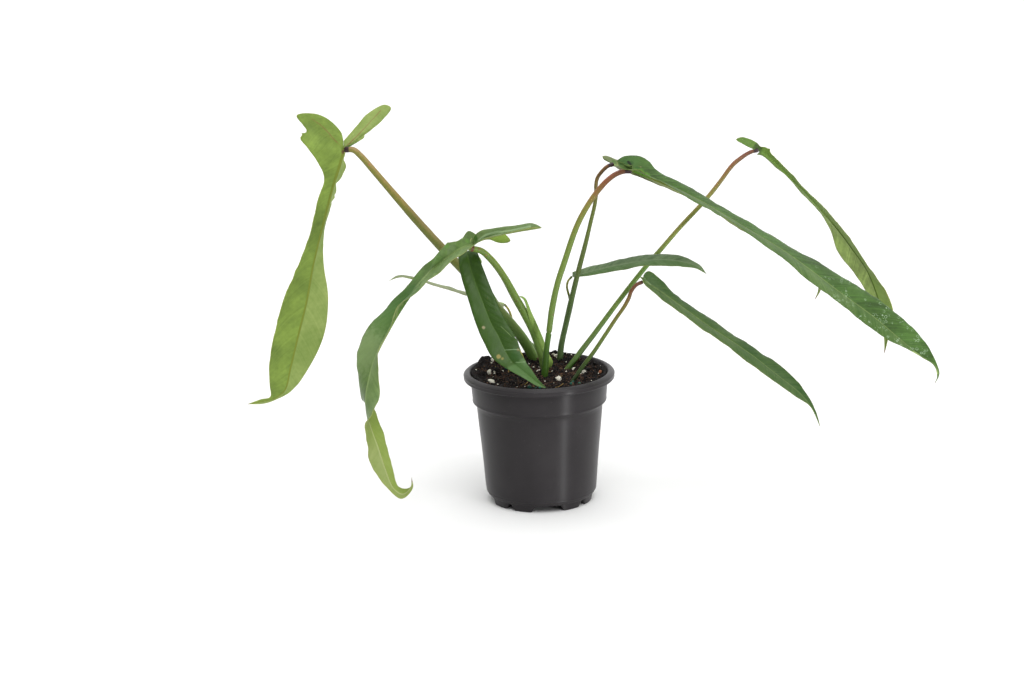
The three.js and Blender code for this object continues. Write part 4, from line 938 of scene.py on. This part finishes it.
def add_blade(key, blade, finishes, name, replaced, thickness=BLADE_THICKNESS, relief=1.0):
    """A blade as a closed thin shell, with its midrib raised on the under face."""
    values, faces = blade_surface(blade)
    points, off, share, rim = (values[entry] for entry in ("points", "off", "share", "rim"))
    normals = corner_normals(points, faces)
    seed = ord(key)
    calm = smoothstep(rim, 0, 6) * smoothstep(off, 0.5, 4)
    pucker = PUCKER * np.cos(2 * np.pi * values["vein"] / PRIMARY_PITCH) * calm
    swell = SWELL * rough(points, 16, seed, 2) * smoothstep(off, 0, 5)
    curl = CURL * rough(points, 7, seed + 5, 2) * (1 - smoothstep(rim, 0, 5)) * smoothstep(off, 1, 6)
    middle = points + normals * ((pucker + swell + curl) * relief)[:, None]
    half = thickness / 2 * (0.4 + 0.6 * smoothstep(rim, 0, 2.5))
    rib = RIB_HEIGHT * (1 - share) * np.exp(-(off / (0.45 + 0.5 * (1 - share))) ** 2) * relief
    groove = GROOVE_DEPTH * (1 - share) * np.exp(-(off / 0.8) ** 2) * relief
    upper = middle + normals * (half - groove)[:, None]
    under = middle - normals * (half + rib)[:, None]
    count = len(points)
    edges = {(face[place - 1], face[place]) for face in faces for place in range(len(face))}
    border = [(start, end) for start, end in sorted(edges) if (end, start) not in edges]
    strip = [[start, start + count, end + count, end] for start, end in border]
    turned = [[corner + count for corner in reversed(face)] for face in faces]
    which = [0] * len(faces) + [1] * (len(turned) + len(strip))
    doubled = {entry: np.tile(values[entry], 2) for entry in POINT_VALUES}
    piece = add_piece(name, np.vstack([upper, under]), faces + turned + strip, finishes, which, doubled)
    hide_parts(replaced)


def tube(line, radii, sides):
    """A round tube along a line, closed at both ends: points, faces, and how far each point faces up."""
    tangents = unit(np.gradient(line, axis=0))
    side_way = np.cross(tangents[0], [0, 0, 1.0] if abs(tangents[0][2]) < 0.9 else [0, 1.0, 0])
    ways = []
    for tangent in tangents:
        side_way = unit(side_way - tangent * np.dot(side_way, tangent))
        ways.append(side_way)
    ways = np.array(ways)
    other = np.cross(tangents, ways)
    turn = around(sides)
    spokes = ways[:, None] * np.cos(turn)[:, None] + other[:, None] * np.sin(turn)[:, None]
    reach = radii[:, None, None] if np.ndim(radii) == 1 else radii[..., None]
    points = line[:, None] + spokes * reach
    upward = spokes[..., 2]
    index, _, faces = ring_grid(len(line), sides)
    faces = [*faces.tolist(), index[0][::-1].tolist(), index[-1].tolist()]
    return points.reshape(-1, 3), faces, upward.ravel()


def even_line(points, spacing, start=0.0, end=1.0):
    """Evenly spaced points on the smooth curve through points, with each one's share of the length."""
    fine = np.linspace(0, 1, len(points) * 60)
    line = spline(points, fine)
    run = run_of(line)
    count = max(int(run[-1] * (end - start) / spacing), 4)
    shares = np.linspace(start, end, count + 1)
    return spline(points, np.interp(shares * run[-1], run, fine)), shares


def buried(route):
    """A stalk's route, carried straight on into the soil."""
    foot, after = np.array(route[0], float), np.array(route[1], float)
    return [list(foot + unit(foot - after) * STALK_DEPTH), *route]


def add_stalk(key, stalk, finish):
    """A tapered stalk from inside the soil to its blade, thinner where the sheath goes round it."""
    route = buried(stalk["route"])
    line, shares = even_line(route, STALK_ROW / FINE)
    radii = np.interp(shares, np.linspace(0, 1, len(stalk["radii"])), stalk["radii"])
    if key == "d":
        top = SHEATH_SPAN[1]
        radii = radii - SHEATH_ROOM * (1 - smoothstep(shares, top - 0.003, top + 0.006))
    run = run_of(line)
    ring = np.exp(-((run[-1] - run - 0.8) / 0.9) ** 2)
    radii = radii * (1 + 0.03 * noise(line / 9, 3)) + 0.16 * ring
    end = line[-1] + unit(line[-1] - line[-2]) * 0.5
    line = np.vstack([line, end])
    radii = np.append(radii, radii[-1] * 0.82)
    shares = np.append(shares, 1.0)
    points, faces, upward = tube(line, radii, STALK_SIDES)
    visible = np.clip((shares * run[-1] - STALK_DEPTH) / (run[-1] - STALK_DEPTH), 0, 1)
    left = np.append(run[-1] - run, 0)
    attributes = {"share": np.repeat(visible, STALK_SIDES), "upward": upward,
                  "left": np.repeat(left, STALK_SIDES)}
    piece = add_piece(f"stalk_{key}_skin", points, faces, [finish],
                      attributes=attributes, sharp=60)
    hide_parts(f"stalk_{key}")


def add_sheath(finish):
    """The sheath round stalk d: a thin tube whose top edge has a nick and two lobes."""
    route = buried(STALKS["d"]["route"])
    radii = STALKS["d"]["radii"]
    line, shares = even_line(route, SHEATH_ROW, *SHEATH_SPAN)
    inner = np.interp(shares, np.linspace(0, 1, len(radii)), radii) - SHEATH_ROOM
    rows, sides = len(line), SHEATH_SIDES
    turn = around(sides)
    rise = np.arange(rows) / (rows - 1)
    flare = 0.25 * smoothstep(rise, 0.7, 1)[:, None] * (0.6 + 0.4 * np.cos(turn + 1.2))
    swell = 0.65 * (1 - smoothstep(rise, 0.2, 0.85))[:, None]
    outside = SHEATH_RADIUS + swell + flare
    inside = np.maximum(outside - SHEATH_WALL, inner[:, None] + 0.03)
    outside = np.maximum(outside, inside + 0.22)
    top = line[-1] - line[-2]
    cut = 3.2 * np.exp(-((turn - 2.6) / 0.35) ** 2) + 1.3 * (0.5 + 0.5 * np.cos(turn - 4.4))
    shells = []
    for radius in (outside, inside):
        points, _, _ = tube(line, radius, sides)
        points = points.reshape(rows, sides, 3)
        points = points - (smoothstep(rise, 0.55, 1)[:, None] * cut)[..., None] * unit(top)
        shells.append(points.reshape(-1, 3))
    index, turned, quads = ring_grid(rows, sides)
    faces = quads.tolist() + (quads[:, ::-1] + rows * sides).tolist()
    for ring, flip in ((0, True), (rows - 1, False)):
        a, b = index[ring], turned[ring]
        lip = np.stack([a, b, b + rows * sides, a + rows * sides], axis=-1)
        faces += (lip[:, ::-1] if flip else lip).tolist()
    share = np.tile(np.repeat(rise, sides), 2)
    piece = add_piece("sheath_skin", np.vstack(shells), faces, [finish], attributes={"share": share})
    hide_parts("sheath_d")


def foot_floor(turn):
    """Height of the foot ring's underside round the pot: gaps with slanting ends between the feet."""
    height = np.zeros_like(turn)
    for quarter in range(4):
        for centre, bottom, top in GAPS:
            away = abs((turn - centre - quarter * 90 + 180) % 360 - 180)
            height = np.maximum(height, GAP_HEIGHT * np.clip((bottom - away) / (bottom - top), 0, 1))
    return height


def rounded(profile, steps=4):
    """The profile with each corner turned into a short arc."""
    points = np.array([entry[:2] for entry in profile], float)
    made = [points[0]]
    for before, here, after, (_, _, size) in zip(points[:-2], points[1:-1], points[2:], profile[1:-1]):
        back, ahead = before - here, after - here
        reach = min(size, np.linalg.norm(back) * 0.45, np.linalg.norm(ahead) * 0.45)
        start, end = here + unit(back) * reach, here + unit(ahead) * reach
        for step in range(steps + 1):
            share = step / steps
            made.append(start * (1 - share) ** 2 + here * 2 * share * (1 - share) + end * share ** 2)
    made.append(points[-1])
    return np.array(made)


def add_pot(finish):
    """The pot turned from its section, with gaps in the foot, drain holes and a pad under the floor."""
    profile = rounded(POT_SECTION)
    turn = np.arange(POT_SIDES) / POT_SIDES * 360
    lift = foot_floor(turn)
    foot = (profile[:, 0] > FOOT_INSIDE) & (profile[:, 1] < GAP_HEIGHT)
    height = np.where(foot[:, None], np.maximum(profile[:, 1][:, None], lift), profile[:, 1][:, None])
    radius = np.repeat(profile[:, 0][:, None], POT_SIDES, axis=1)
    angle = np.radians(turn)
    points = np.stack([radius * np.cos(angle), radius * np.sin(angle), height], axis=-1)
    index, turned, quads = ring_grid(len(profile), POT_SIDES)
    faces = quads[POT_SIDES:-POT_SIDES].tolist()
    flat = points.reshape(-1, 3)
    flat[index[0][0]] = [0, 0, profile[0][1]]
    flat[index[-1][0]] = [0, 0, profile[-1][1]]
    for side in range(POT_SIDES):
        faces.append([int(index[0][0]), int(turned[1][side]), int(index[1][side])])
        faces.append([int(index[-1][0]), int(index[-2][side]), int(turned[-2][side])])
    used = sorted({corner for face in faces for corner in face})
    renumber = {old: new for new, old in enumerate(used)}
    faces = [[renumber[corner] for corner in face] for face in faces]
    piece = add_piece("pot_shell", flat[used], faces, [finish], sharp=POT_CREASE)
    for quarter in range(4):
        angle = math.radians(-45 + GAP_TURN + 90 * quarter)
        place = (DRAIN_CIRCLE * math.cos(angle), DRAIN_CIRCLE * math.sin(angle), 5)
        carve(piece, "DIFFERENCE", 32, DRAIN_RADIUS, 20, place)
    carve(piece, "UNION", 64, HUB_RADIUS, HUB_DEPTH, (0, 0, HUB_DEPTH / 2))
    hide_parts("pot")


def carve(piece, operation, sides, radius, depth, place):
    """Cuts an upright cylinder out of a piece, or joins it on, for good; sizes in millimetres."""
    bpy.ops.mesh.primitive_cylinder_add(
        vertices=sides, radius=radius * MM, depth=depth * MM, location=[entry * MM for entry in place])
    cylinder = bpy.context.object
    change = piece.modifiers.new("carve", "BOOLEAN")
    change.operation = operation
    change.object = cylinder
    change.solver = "EXACT"
    shape = bpy.data.meshes.new_from_object(piece.evaluated_get(bpy.context.evaluated_depsgraph_get()))
    piece.modifiers.clear()
    piece.data = shape
    bpy.data.objects.remove(cylinder)


def soil_height(x, y):
    """Height of the soil without its grain: it rises toward the rim, most of all at the back."""
    reach = np.hypot(x, y)
    back = 0.5 + 0.5 * y / np.maximum(reach, 1)
    rise = SOIL_EDGE_RISE["front"] * (1 - back) + SOIL_EDGE_RISE["back"] * back
    height = SOIL_MIDDLE + rise * smoothstep(reach, 32, 50)
    for mound_x, mound_y, top, spread in MOUNDS:
        height = height + top * np.exp(-((x - mound_x) ** 2 + (y - mound_y) ** 2) / spread ** 2)
    return height + 0.4 * np.sin(x * 0.31 + y * 0.12) + 0.4 * np.cos(y * 0.37 - x * 0.17)


def soil_top(x, y):
    """Height of the peat's rough surface."""
    x, y = np.asarray(x, float), np.asarray(y, float)
    place = np.stack([x.ravel(), y.ravel(), np.zeros(x.size)], axis=1)
    bumps = sum(height * rough(place, cell, seed, octaves) for height, cell, seed, octaves in SOIL_BUMPS)
    return soil_height(x, y) + bumps.reshape(x.shape)


def add_soil(finish):
    """The peat as one body: its rough top, then its wall and underside inside the pot."""
    rings, sides = int(SOIL_RINGS * FINE), int(SOIL_SIDES * FINE)
    turn = around(sides)
    radius = np.linspace(0.4, SOIL_RADIUS + 0.2, rings)[:, None]
    x, y = radius * np.cos(turn), radius * np.sin(turn)
    top = soil_top(x, y)
    layers = [np.stack([x, y, top], axis=-1).reshape(-1, 3)]
    for reach, z in SOIL_WALL:
        layers.append(np.stack([reach * np.cos(turn), reach * np.sin(turn), np.full(sides, z)], axis=-1))
    index, _, quads = ring_grid(rings + len(SOIL_WALL), sides)
    faces = [*np.roll(quads[:, ::-1], 1, axis=1).tolist(), index[0].tolist(), index[-1][::-1].tolist()]
    piece = add_piece("soil_body", np.vstack(layers), faces, [finish])
    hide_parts("soil")


def lump(detail):
    """Unit ball from a split icosahedron."""
    mesh = bmesh.new()
    bmesh.ops.create_icosphere(mesh, subdivisions=detail, radius=1)
    points = np.array([vertex.co[:] for vertex in mesh.verts])
    faces = np.array([[vertex.index for vertex in face.verts] for face in mesh.faces])
    mesh.free()
    return points, faces


def add_grains(name, places, finish, detail, roughness, squash, sink):
    """Many small grains in one piece: places are [x, y, radius]."""
    ball, ball_faces = lump(detail)
    draw = np.random.default_rng(len(places) + 11)
    points, faces, tone = [], [], []
    for count, (x, y, size) in enumerate(places):
        stretch = size * (1 + draw.uniform(-squash, squash, 3))
        shape = ball * (1 + roughness * rough(ball * 1.3 + count * 7.7, 1, 5, 2))[:, None] * stretch
        a, b, c = draw.uniform(0, 2 * np.pi, 3)
        spin = np.array(Matrix.Rotation(a, 3, "Z") @ Matrix.Rotation(b, 3, "X") @ Matrix.Rotation(c, 3, "Z"))
        points.append(shape @ spin.T + [x, y, float(soil_top(x, y)) + size * (1 - sink)])
        faces.append(ball_faces + count * len(ball))
        tone.append(np.full(len(ball), draw.uniform()))
    add_piece(name, np.vstack(points), np.vstack(faces).tolist(), [finish],
              attributes={"tone": np.concatenate(tone)})


def scattered(count, low, high, seed, clear=2.0):
    """Seeded places on the soil, clear of the stalks: [x, y, radius]."""
    draw = np.random.default_rng(seed)
    feet = np.array([stalk["route"][0][:2] for stalk in STALKS.values()])
    made = []
    while len(made) < count:
        x, y = draw.uniform(-52, 52, 2)
        size = low + (high - low) * draw.uniform() ** 2.5
        if np.hypot(x, y) > SOIL_CLEAR - size or np.hypot(*(feet - [x, y]).T).min() < clear + size:
            continue
        made.append([x, y, size])
    return made


def add_fibres(name, count, finish, seed, length, radius):
    """Thin bent fibres that lie on the soil."""
    draw = np.random.default_rng(seed)
    all_points, all_faces, start = [], [], 0
    for _ in range(count):
        x, y = draw.uniform(-44, 44, 2)
        if np.hypot(x, y) > 45:
            continue
        way = draw.uniform(0, 2 * np.pi)
        reach = length * draw.uniform(0.5, 1)
        steps = np.linspace(-0.5, 0.5, 9)
        bend = draw.uniform(-2, 2)
        px = x + reach * steps * np.cos(way + bend * steps)
        py = y + reach * steps * np.sin(way + bend * steps)
        rise = radius + draw.uniform(0, 0.5) + draw.uniform(0, 1.8) * np.clip(steps * 2, 0, 1) ** 2
        if np.hypot(px, py).max() >= SOIL_CLEAR:
            continue
        line = np.stack([px, py, soil_top(px, py) + rise], axis=1)
        points, faces, _ = tube(line, np.full(len(line), radius * draw.uniform(0.6, 1.2)), 6)
        all_points.append(points)
        all_faces += [[corner + start for corner in face] for face in faces]
        start += len(points)
    add_piece(name, np.vstack(all_points), all_faces, [finish])


def dried_drops(finish, share, low, high):
    """Rings and dots left by water, on the part of a blade between two shares of its length and the tip."""
    ring = finish.step(finish.math("ABSOLUTE", finish.math("SUBTRACT", finish.cells(3.4), 0.3)), 0.06, 0.02)
    dots = finish.step(finish.cells(1.7), 0.22, 0.1)
    dry = finish.times(finish.step(finish.noise(9, 2), 0.48, 0.6), finish.math("MAXIMUM", ring, dots))
    return finish.times(dry, finish.times(finish.step(share, low, high), finish.step(share, 0.97, 0.93)))


def leaf_finishes(key, tones, gloss=0.42, veins=0.1, rib_width=1.0, margin=0.5, sheen=0.3, **marks):
    """Finishes of a blade's upper and under face."""
    made = []
    for face in ("upper", "under"):
        deep, light, *right = tones[face]
        rib = tones[f"{face}_rib"]
        finish = Finish(f"leaf_{key}_{face}", IOR=1.4, Specular_IOR_Level=sheen)
        vein, off, rim, share, side = (finish.attribute(name) for name in POINT_VALUES)
        where = finish.vector(vein, finish.times(off, 0.03), finish.times(share, 0.4))
        streak, broad = finish.noise(1.25, 2, where), finish.noise(6, 1, where)
        cloud, mottle = finish.noise(26, 2), finish.noise(3, 3)

        # Tones that run with the veins, the main veins and the midrib
        streaks = marks.get("streaks", 1.0)
        tone = finish.plus(finish.times(streak, 0.5), finish.times(broad, 0.35))
        tone = finish.plus(finish.times(tone, streaks), 0.425 * (1 - streaks))
        tone = finish.plus(finish.plus(tone, finish.times(cloud, 0.5)), finish.times(mottle, 0.2))
        tone = finish.step(tone, 0.5, 1.1)
        colour = finish.mix(tone, deep, light)
        # The right half's own tones are painted light and shade of that half
        if right:
            colour = finish.mix(finish.step(side, -0.5, 0.5), colour, finish.mix(tone, *right))
        beat = finish.math("COSINE", finish.times(vein, 2 * math.pi / PRIMARY_PITCH))
        primary = finish.step(beat, 0.955, 1.0)
        colour = finish.paint(colour, primary, rib, veins)
        width = finish.plus(finish.times(finish.math("SUBTRACT", 1.0, share), 0.9), 0.25)
        line = finish.step(finish.math("DIVIDE", off, finish.times(width, rib_width)), 1.35, 0.7)
        line = finish.times(line, finish.step(share, *marks.get("rib_from", (-1.0, -0.5))))
        colour = finish.paint(colour, line, rib, marks.get(f"{face}_rib_share", 1.0))

        # The leaf's marks, some of them painted shade and highlights, its margin, dried drops, tip and flecks
        for low, high, shade, strength in marks.get("zones", ()):
            zone = finish.step(finish.plus(share, finish.times(mottle, 0.02)), low, high)
            colour = finish.paint(colour, zone, shade, strength)
        for point, reach, shade, strength in marks.get("spots", ()):
            colour = finish.paint(colour, finish.near(point, reach, mottle), shade, strength)
        for points, reach, shade, strength in marks.get("strokes", ()):
            colour = finish.paint(colour, finish.stroke(points, reach, mottle), shade, strength)
        edge = finish.step(finish.plus(finish.times(mottle, 0.5), rim), 0.8, 0.35)
        colour = finish.paint(colour, edge, marks.get("margin_colour", INK["straw"]), margin)
        if "water" in marks:
            low, high, amount = marks["water"]
            colour = finish.paint(colour, dried_drops(finish, share, low, high), INK["chalk"], amount)
        tip = marks.get("tip", 0.985)
        colour = finish.mix(finish.step(finish.uneven(share, mottle, 0.02), tip, tip + 0.012), colour,
                            INK["brown"])
        colour = finish.paint(colour, finish.step(finish.cells(9), 0.045, 0.02), INK["brown"], 0.45)
        finish.feed("Base Color", colour)

        relief = finish.plus(finish.times(streak, 0.7), finish.times(primary, -0.5))
        finish.bump(finish.plus(relief, finish.times(mottle, 0.35)), 0.08)
        base = gloss if face == "upper" else gloss + 0.14
        finish.feed("Roughness", finish.step(finish.noise(11, 3), 0.3, 0.7, base - 0.06, base + 0.06))
        made.append(finish.material)
    return made


def stalk_finish(key, down, up, ring=INK["plum"], ring_length=2.2, ring_start=0.0, spots=()):
    """Finish of a stalk from its colours facing down and up: painted shade below, painted light above."""
    finish = Finish(f"stalk_{key}", Roughness=0.45, IOR=1.4)
    share, upward, left = (finish.attribute(name) for name in ("share", "upward", "left"))
    streak, mottle = finish.noise(1.2, 2), finish.noise(4, 3)
    place = finish.uneven(share, mottle, 0.12)
    side = finish.uneven(upward, mottle, 0.7)
    # Painted light on the side facing up, painted shade on the side facing down
    colour = finish.mix(finish.step(side, -0.15, 0.75), finish.ramp(place, down), finish.ramp(place, up))
    colour = finish.mix(finish.step(streak, 0.35, 0.7, 0.0, 0.22), colour, down[0])
    colour = finish.paint(colour, finish.step(finish.cells(5.5), 0.11, 0.05), INK["brown"], 0.6)
    for point, reach, shade, strength in spots:
        colour = finish.paint(colour, finish.near(point, reach, mottle), shade, strength)
    from_end = finish.plus(left, finish.times(mottle, 1.4))
    below = finish.step(from_end, ring_length + 1.3, ring_length)
    colour = finish.paint(colour, below, ring, finish.step(from_end, ring_start, ring_start + 0.6))
    finish.feed("Base Color", colour)
    finish.bump(finish.plus(streak, mottle), 0.09)
    return finish.material


def sheath_finish():
    finish = Finish("sheath_skin", Roughness=0.5, IOR=1.4, Specular_IOR_Level=0.3)
    streak = finish.noise(1.4, 3)
    top = finish.step(finish.attribute("share"), 0.5, 0.95)
    finish.feed("Base Color", finish.mix(top, finish.mix(streak, (42, 70, 14), (58, 88, 24)), (72, 104, 36)))
    finish.bump(streak, 0.1)
    return finish.material


def pot_finish():
    """Black plastic, whose gloss is stretched upright, with a little dust."""
    finish = Finish("pot_plastic", IOR=1.45, Specular_IOR_Level=0.34, Anisotropic=0.9,
                    Anisotropic_Rotation=0.25)
    around = finish.node("Tangent")
    around.direction_type, around.axis = "RADIAL", "Z"
    finish.feed("Tangent", around.outputs[0])
    cloud, grain = finish.noise(30, 3), finish.noise(0.5, 2)
    colour = finish.mix(finish.step(cloud, 0.3, 0.75), (34, 31, 33), (41, 38, 40))
    dust = finish.plus(finish.cells(2.6), finish.times(finish.noise(9, 2), 0.16))
    finish.feed("Base Color", finish.paint(colour, finish.step(dust, 0.14, 0.11), INK["dust"], 0.35))
    finish.feed("Roughness", finish.step(cloud, 0.3, 0.75, 0.42, 0.46))
    finish.bump(grain, 0.02)
    return finish.material


def earth_finish(name, dark, light, roughness=0.9, depth=0.5, tone=None):
    """A grainy finish between two colours; tone is the colour of the lightest of many grains."""
    finish = Finish(name, Roughness=roughness, Specular_IOR_Level=0.25)
    cloud, grain = finish.noise(4, 4), finish.noise(0.7, 4)
    value = finish.plus(finish.times(cloud, 0.6), finish.times(grain, 0.4))
    colour = finish.mix(finish.step(value, 0.42, 0.85), dark, light)
    if tone is not None:
        colour = finish.mix(finish.step(finish.attribute("tone"), 0.72, 0.98), colour, tone)
    finish.feed("Base Color", colour)
    finish.bump(grain, depth)
    return finish.material


def add_plant():
    """Blades, stalks, the sheath round stalk d and the cataphyll."""
    for leaf, blade in BLADES.items():
        skins = leaf_finishes(leaf, BLADE_TONES[leaf], **LEAF_LOOKS[leaf])
        add_blade(leaf, blade, skins, f"blade_{leaf}_skin", f"blade_{leaf}")
    for leaf, stalk in STALKS.items():
        add_stalk(leaf, stalk, stalk_finish(leaf, *STALK_TONES[leaf], **STALK_LOOKS[leaf]))
    add_sheath(sheath_finish())
    strap, rib = ((100, 130, 54), (134, 158, 84)), (118, 146, 70)
    tones = {"upper": strap, "under": strap, "upper_rib": rib, "under_rib": rib}
    add_blade("z", CATAPHYLL, leaf_finishes("cataphyll", tones, gloss=0.5, margin=0),
              "cataphyll_skin", "cataphyll_b", thickness=0.7, relief=0.3)


def add_earth():
    """The peat and everything that lies on it."""
    add_soil(earth_finish("peat", (9, 7, 8), (46, 34, 29)))
    crumb = earth_finish("peat_crumbs", (12, 9, 9), (50, 37, 31), tone=(84, 62, 48))
    perlite = earth_finish("perlite", (204, 200, 186), INK["perlite"], 0.8, 0.3)
    prill = earth_finish("prills", (20, 74, 60), INK["prill"], 0.45, 0.1)
    bark = earth_finish("bark", (112, 70, 48), INK["bark"])
    for name, places, finish, detail, roughness, squash, sink in (
            ("crumbs_large", scattered(200, 0.8, 2.1, 3, 2.0), crumb, 2, 0.5, 0.45, 0.6),
            ("crumbs_small", scattered(3200, 0.25, 0.8, 4, 1.0), crumb, 1, 0.35, 0.4, 0.3),
            ("perlite", PERLITE, perlite, 3, 0.42, 0.38, 0.75),
            ("perlite_dust", scattered(40, 0.3, 0.9, 8, 1.2), perlite, 2, 0.25, 0.3, 0.3),
            ("prills", PRILLS, prill, 3, 0.05, 0.1, 0.45),
            ("bark", BARK, bark, 3, 0.3, 0.5, 0.4)):
        add_grains(name, places, finish, detail, roughness, squash, sink)
    add_fibres("fibres_dark", 420, earth_finish("fibres", (66, 48, 38), (132, 98, 74)), 21, 9, 0.19)
    add_fibres("fibres_straw", 10, earth_finish("straw", (140, 112, 66), INK["straw"]), 22, 10, 0.28)


# The photograph's viewpoint: place in metres, angles in degrees, lens and sensor in millimetres
CAMERA_PLACE = (-0.02093, -2.01143, 0.65546)
CAMERA_PITCH, CAMERA_ROLL = 14.651, 1.3
CAMERA_LENS, CAMERA_SENSOR = 92.29, 36
# The surroundings' brightness along Y and Z: from and to as directions, then the light at each
SKY = {"Y": (-0.75, 0.45, 0.22, 1.0), "Z": (0.25, 0.9, 0.0, 0.75)}
# The lights, in metres: both look at LIGHT_AIM
LIGHT_AIM = (0, 0, 0.08)
DAY_PLACE, DAY_ENERGY, DAY_SPREAD = (0.5, -1.6, 2.4), 1.55, 50
STRIP_PLACE, STRIP_ENERGY, STRIP_SIZE = (1.05, -1.11, 0.125), 9, (0.1, 0.24)


def add_light(name, lamp, place):
    light = bpy.data.objects.new(name, lamp)
    light.location = place
    light.rotation_euler = (Vector(LIGHT_AIM) - Vector(place)).to_track_quat("-Z", "Y").to_euler()
    bpy.context.scene.collection.objects.link(light)


def add_studio():
    """A pale floor, surroundings dimmer behind the camera, soft daylight from above and a strip light."""
    bpy.ops.mesh.primitive_plane_add(size=24, location=(0, 0, 0))
    floor = bpy.context.object
    floor.name = "floor"
    paper = Finish("paper", Roughness=0.9)
    paper.feed("Base Color", paper.mix(paper.noise(400, 2), (228, 228, 228), (231, 231, 231)))
    floor.data.materials.append(paper.material)
    world = bpy.data.worlds.new("studio")
    bpy.context.scene.world = world
    world.use_nodes = True
    nodes, links = world.node_tree.nodes, world.node_tree.links
    way, total = nodes.new("ShaderNodeSeparateXYZ"), nodes.new("ShaderNodeMath")
    links.new(nodes.new("ShaderNodeTexCoord").outputs["Generated"], way.inputs[0])
    for entry, (axis, limits) in zip(total.inputs, SKY.items()):
        part = nodes.new("ShaderNodeMapRange")
        part.interpolation_type = "SMOOTHSTEP"
        links.new(way.outputs[axis], part.inputs["Value"])
        for key, value in zip(("From Min", "From Max", "To Min", "To Max"), limits):
            part.inputs[key].default_value = value
        links.new(part.outputs[0], entry)
    nodes["Background"].inputs["Color"].default_value = (1, 1, 1, 1)
    links.new(total.outputs[0], nodes["Background"].inputs["Strength"])
    day = bpy.data.lights.new("day", "SUN")
    day.energy, day.angle = DAY_ENERGY, math.radians(DAY_SPREAD)
    add_light("day", day, DAY_PLACE)
    strip = bpy.data.lights.new("strip", "AREA")
    strip.shape = "RECTANGLE"
    strip.energy = STRIP_ENERGY
    strip.size, strip.size_y = STRIP_SIZE
    add_light("strip", strip, STRIP_PLACE)


def add_camera():
    """The photograph's viewpoint."""
    pitch, roll = math.radians(CAMERA_PITCH), math.radians(CAMERA_ROLL)
    ahead = Vector((0, math.cos(pitch), -math.sin(pitch)))
    level = Vector((1, 0, 0))
    upright = level.cross(ahead)
    across = level * math.cos(roll) - upright * math.sin(roll)
    upward = level * math.sin(roll) + upright * math.cos(roll)
    lens = bpy.data.cameras.new("camera")
    lens.lens, lens.sensor_width = CAMERA_LENS, CAMERA_SENSOR
    lens.clip_start, lens.clip_end = 0.05, 60
    camera = bpy.data.objects.new("camera", lens)
    turn = Matrix((across, upward, -ahead)).transposed().to_4x4()
    camera.matrix_world = Matrix.Translation(CAMERA_PLACE) @ turn
    bpy.context.scene.collection.objects.link(camera)
    bpy.context.scene.camera = camera


add_plant()
add_pot(pot_finish())
add_earth()
add_studio()
add_camera()
bpy.context.scene.view_settings.view_transform = "Standard"
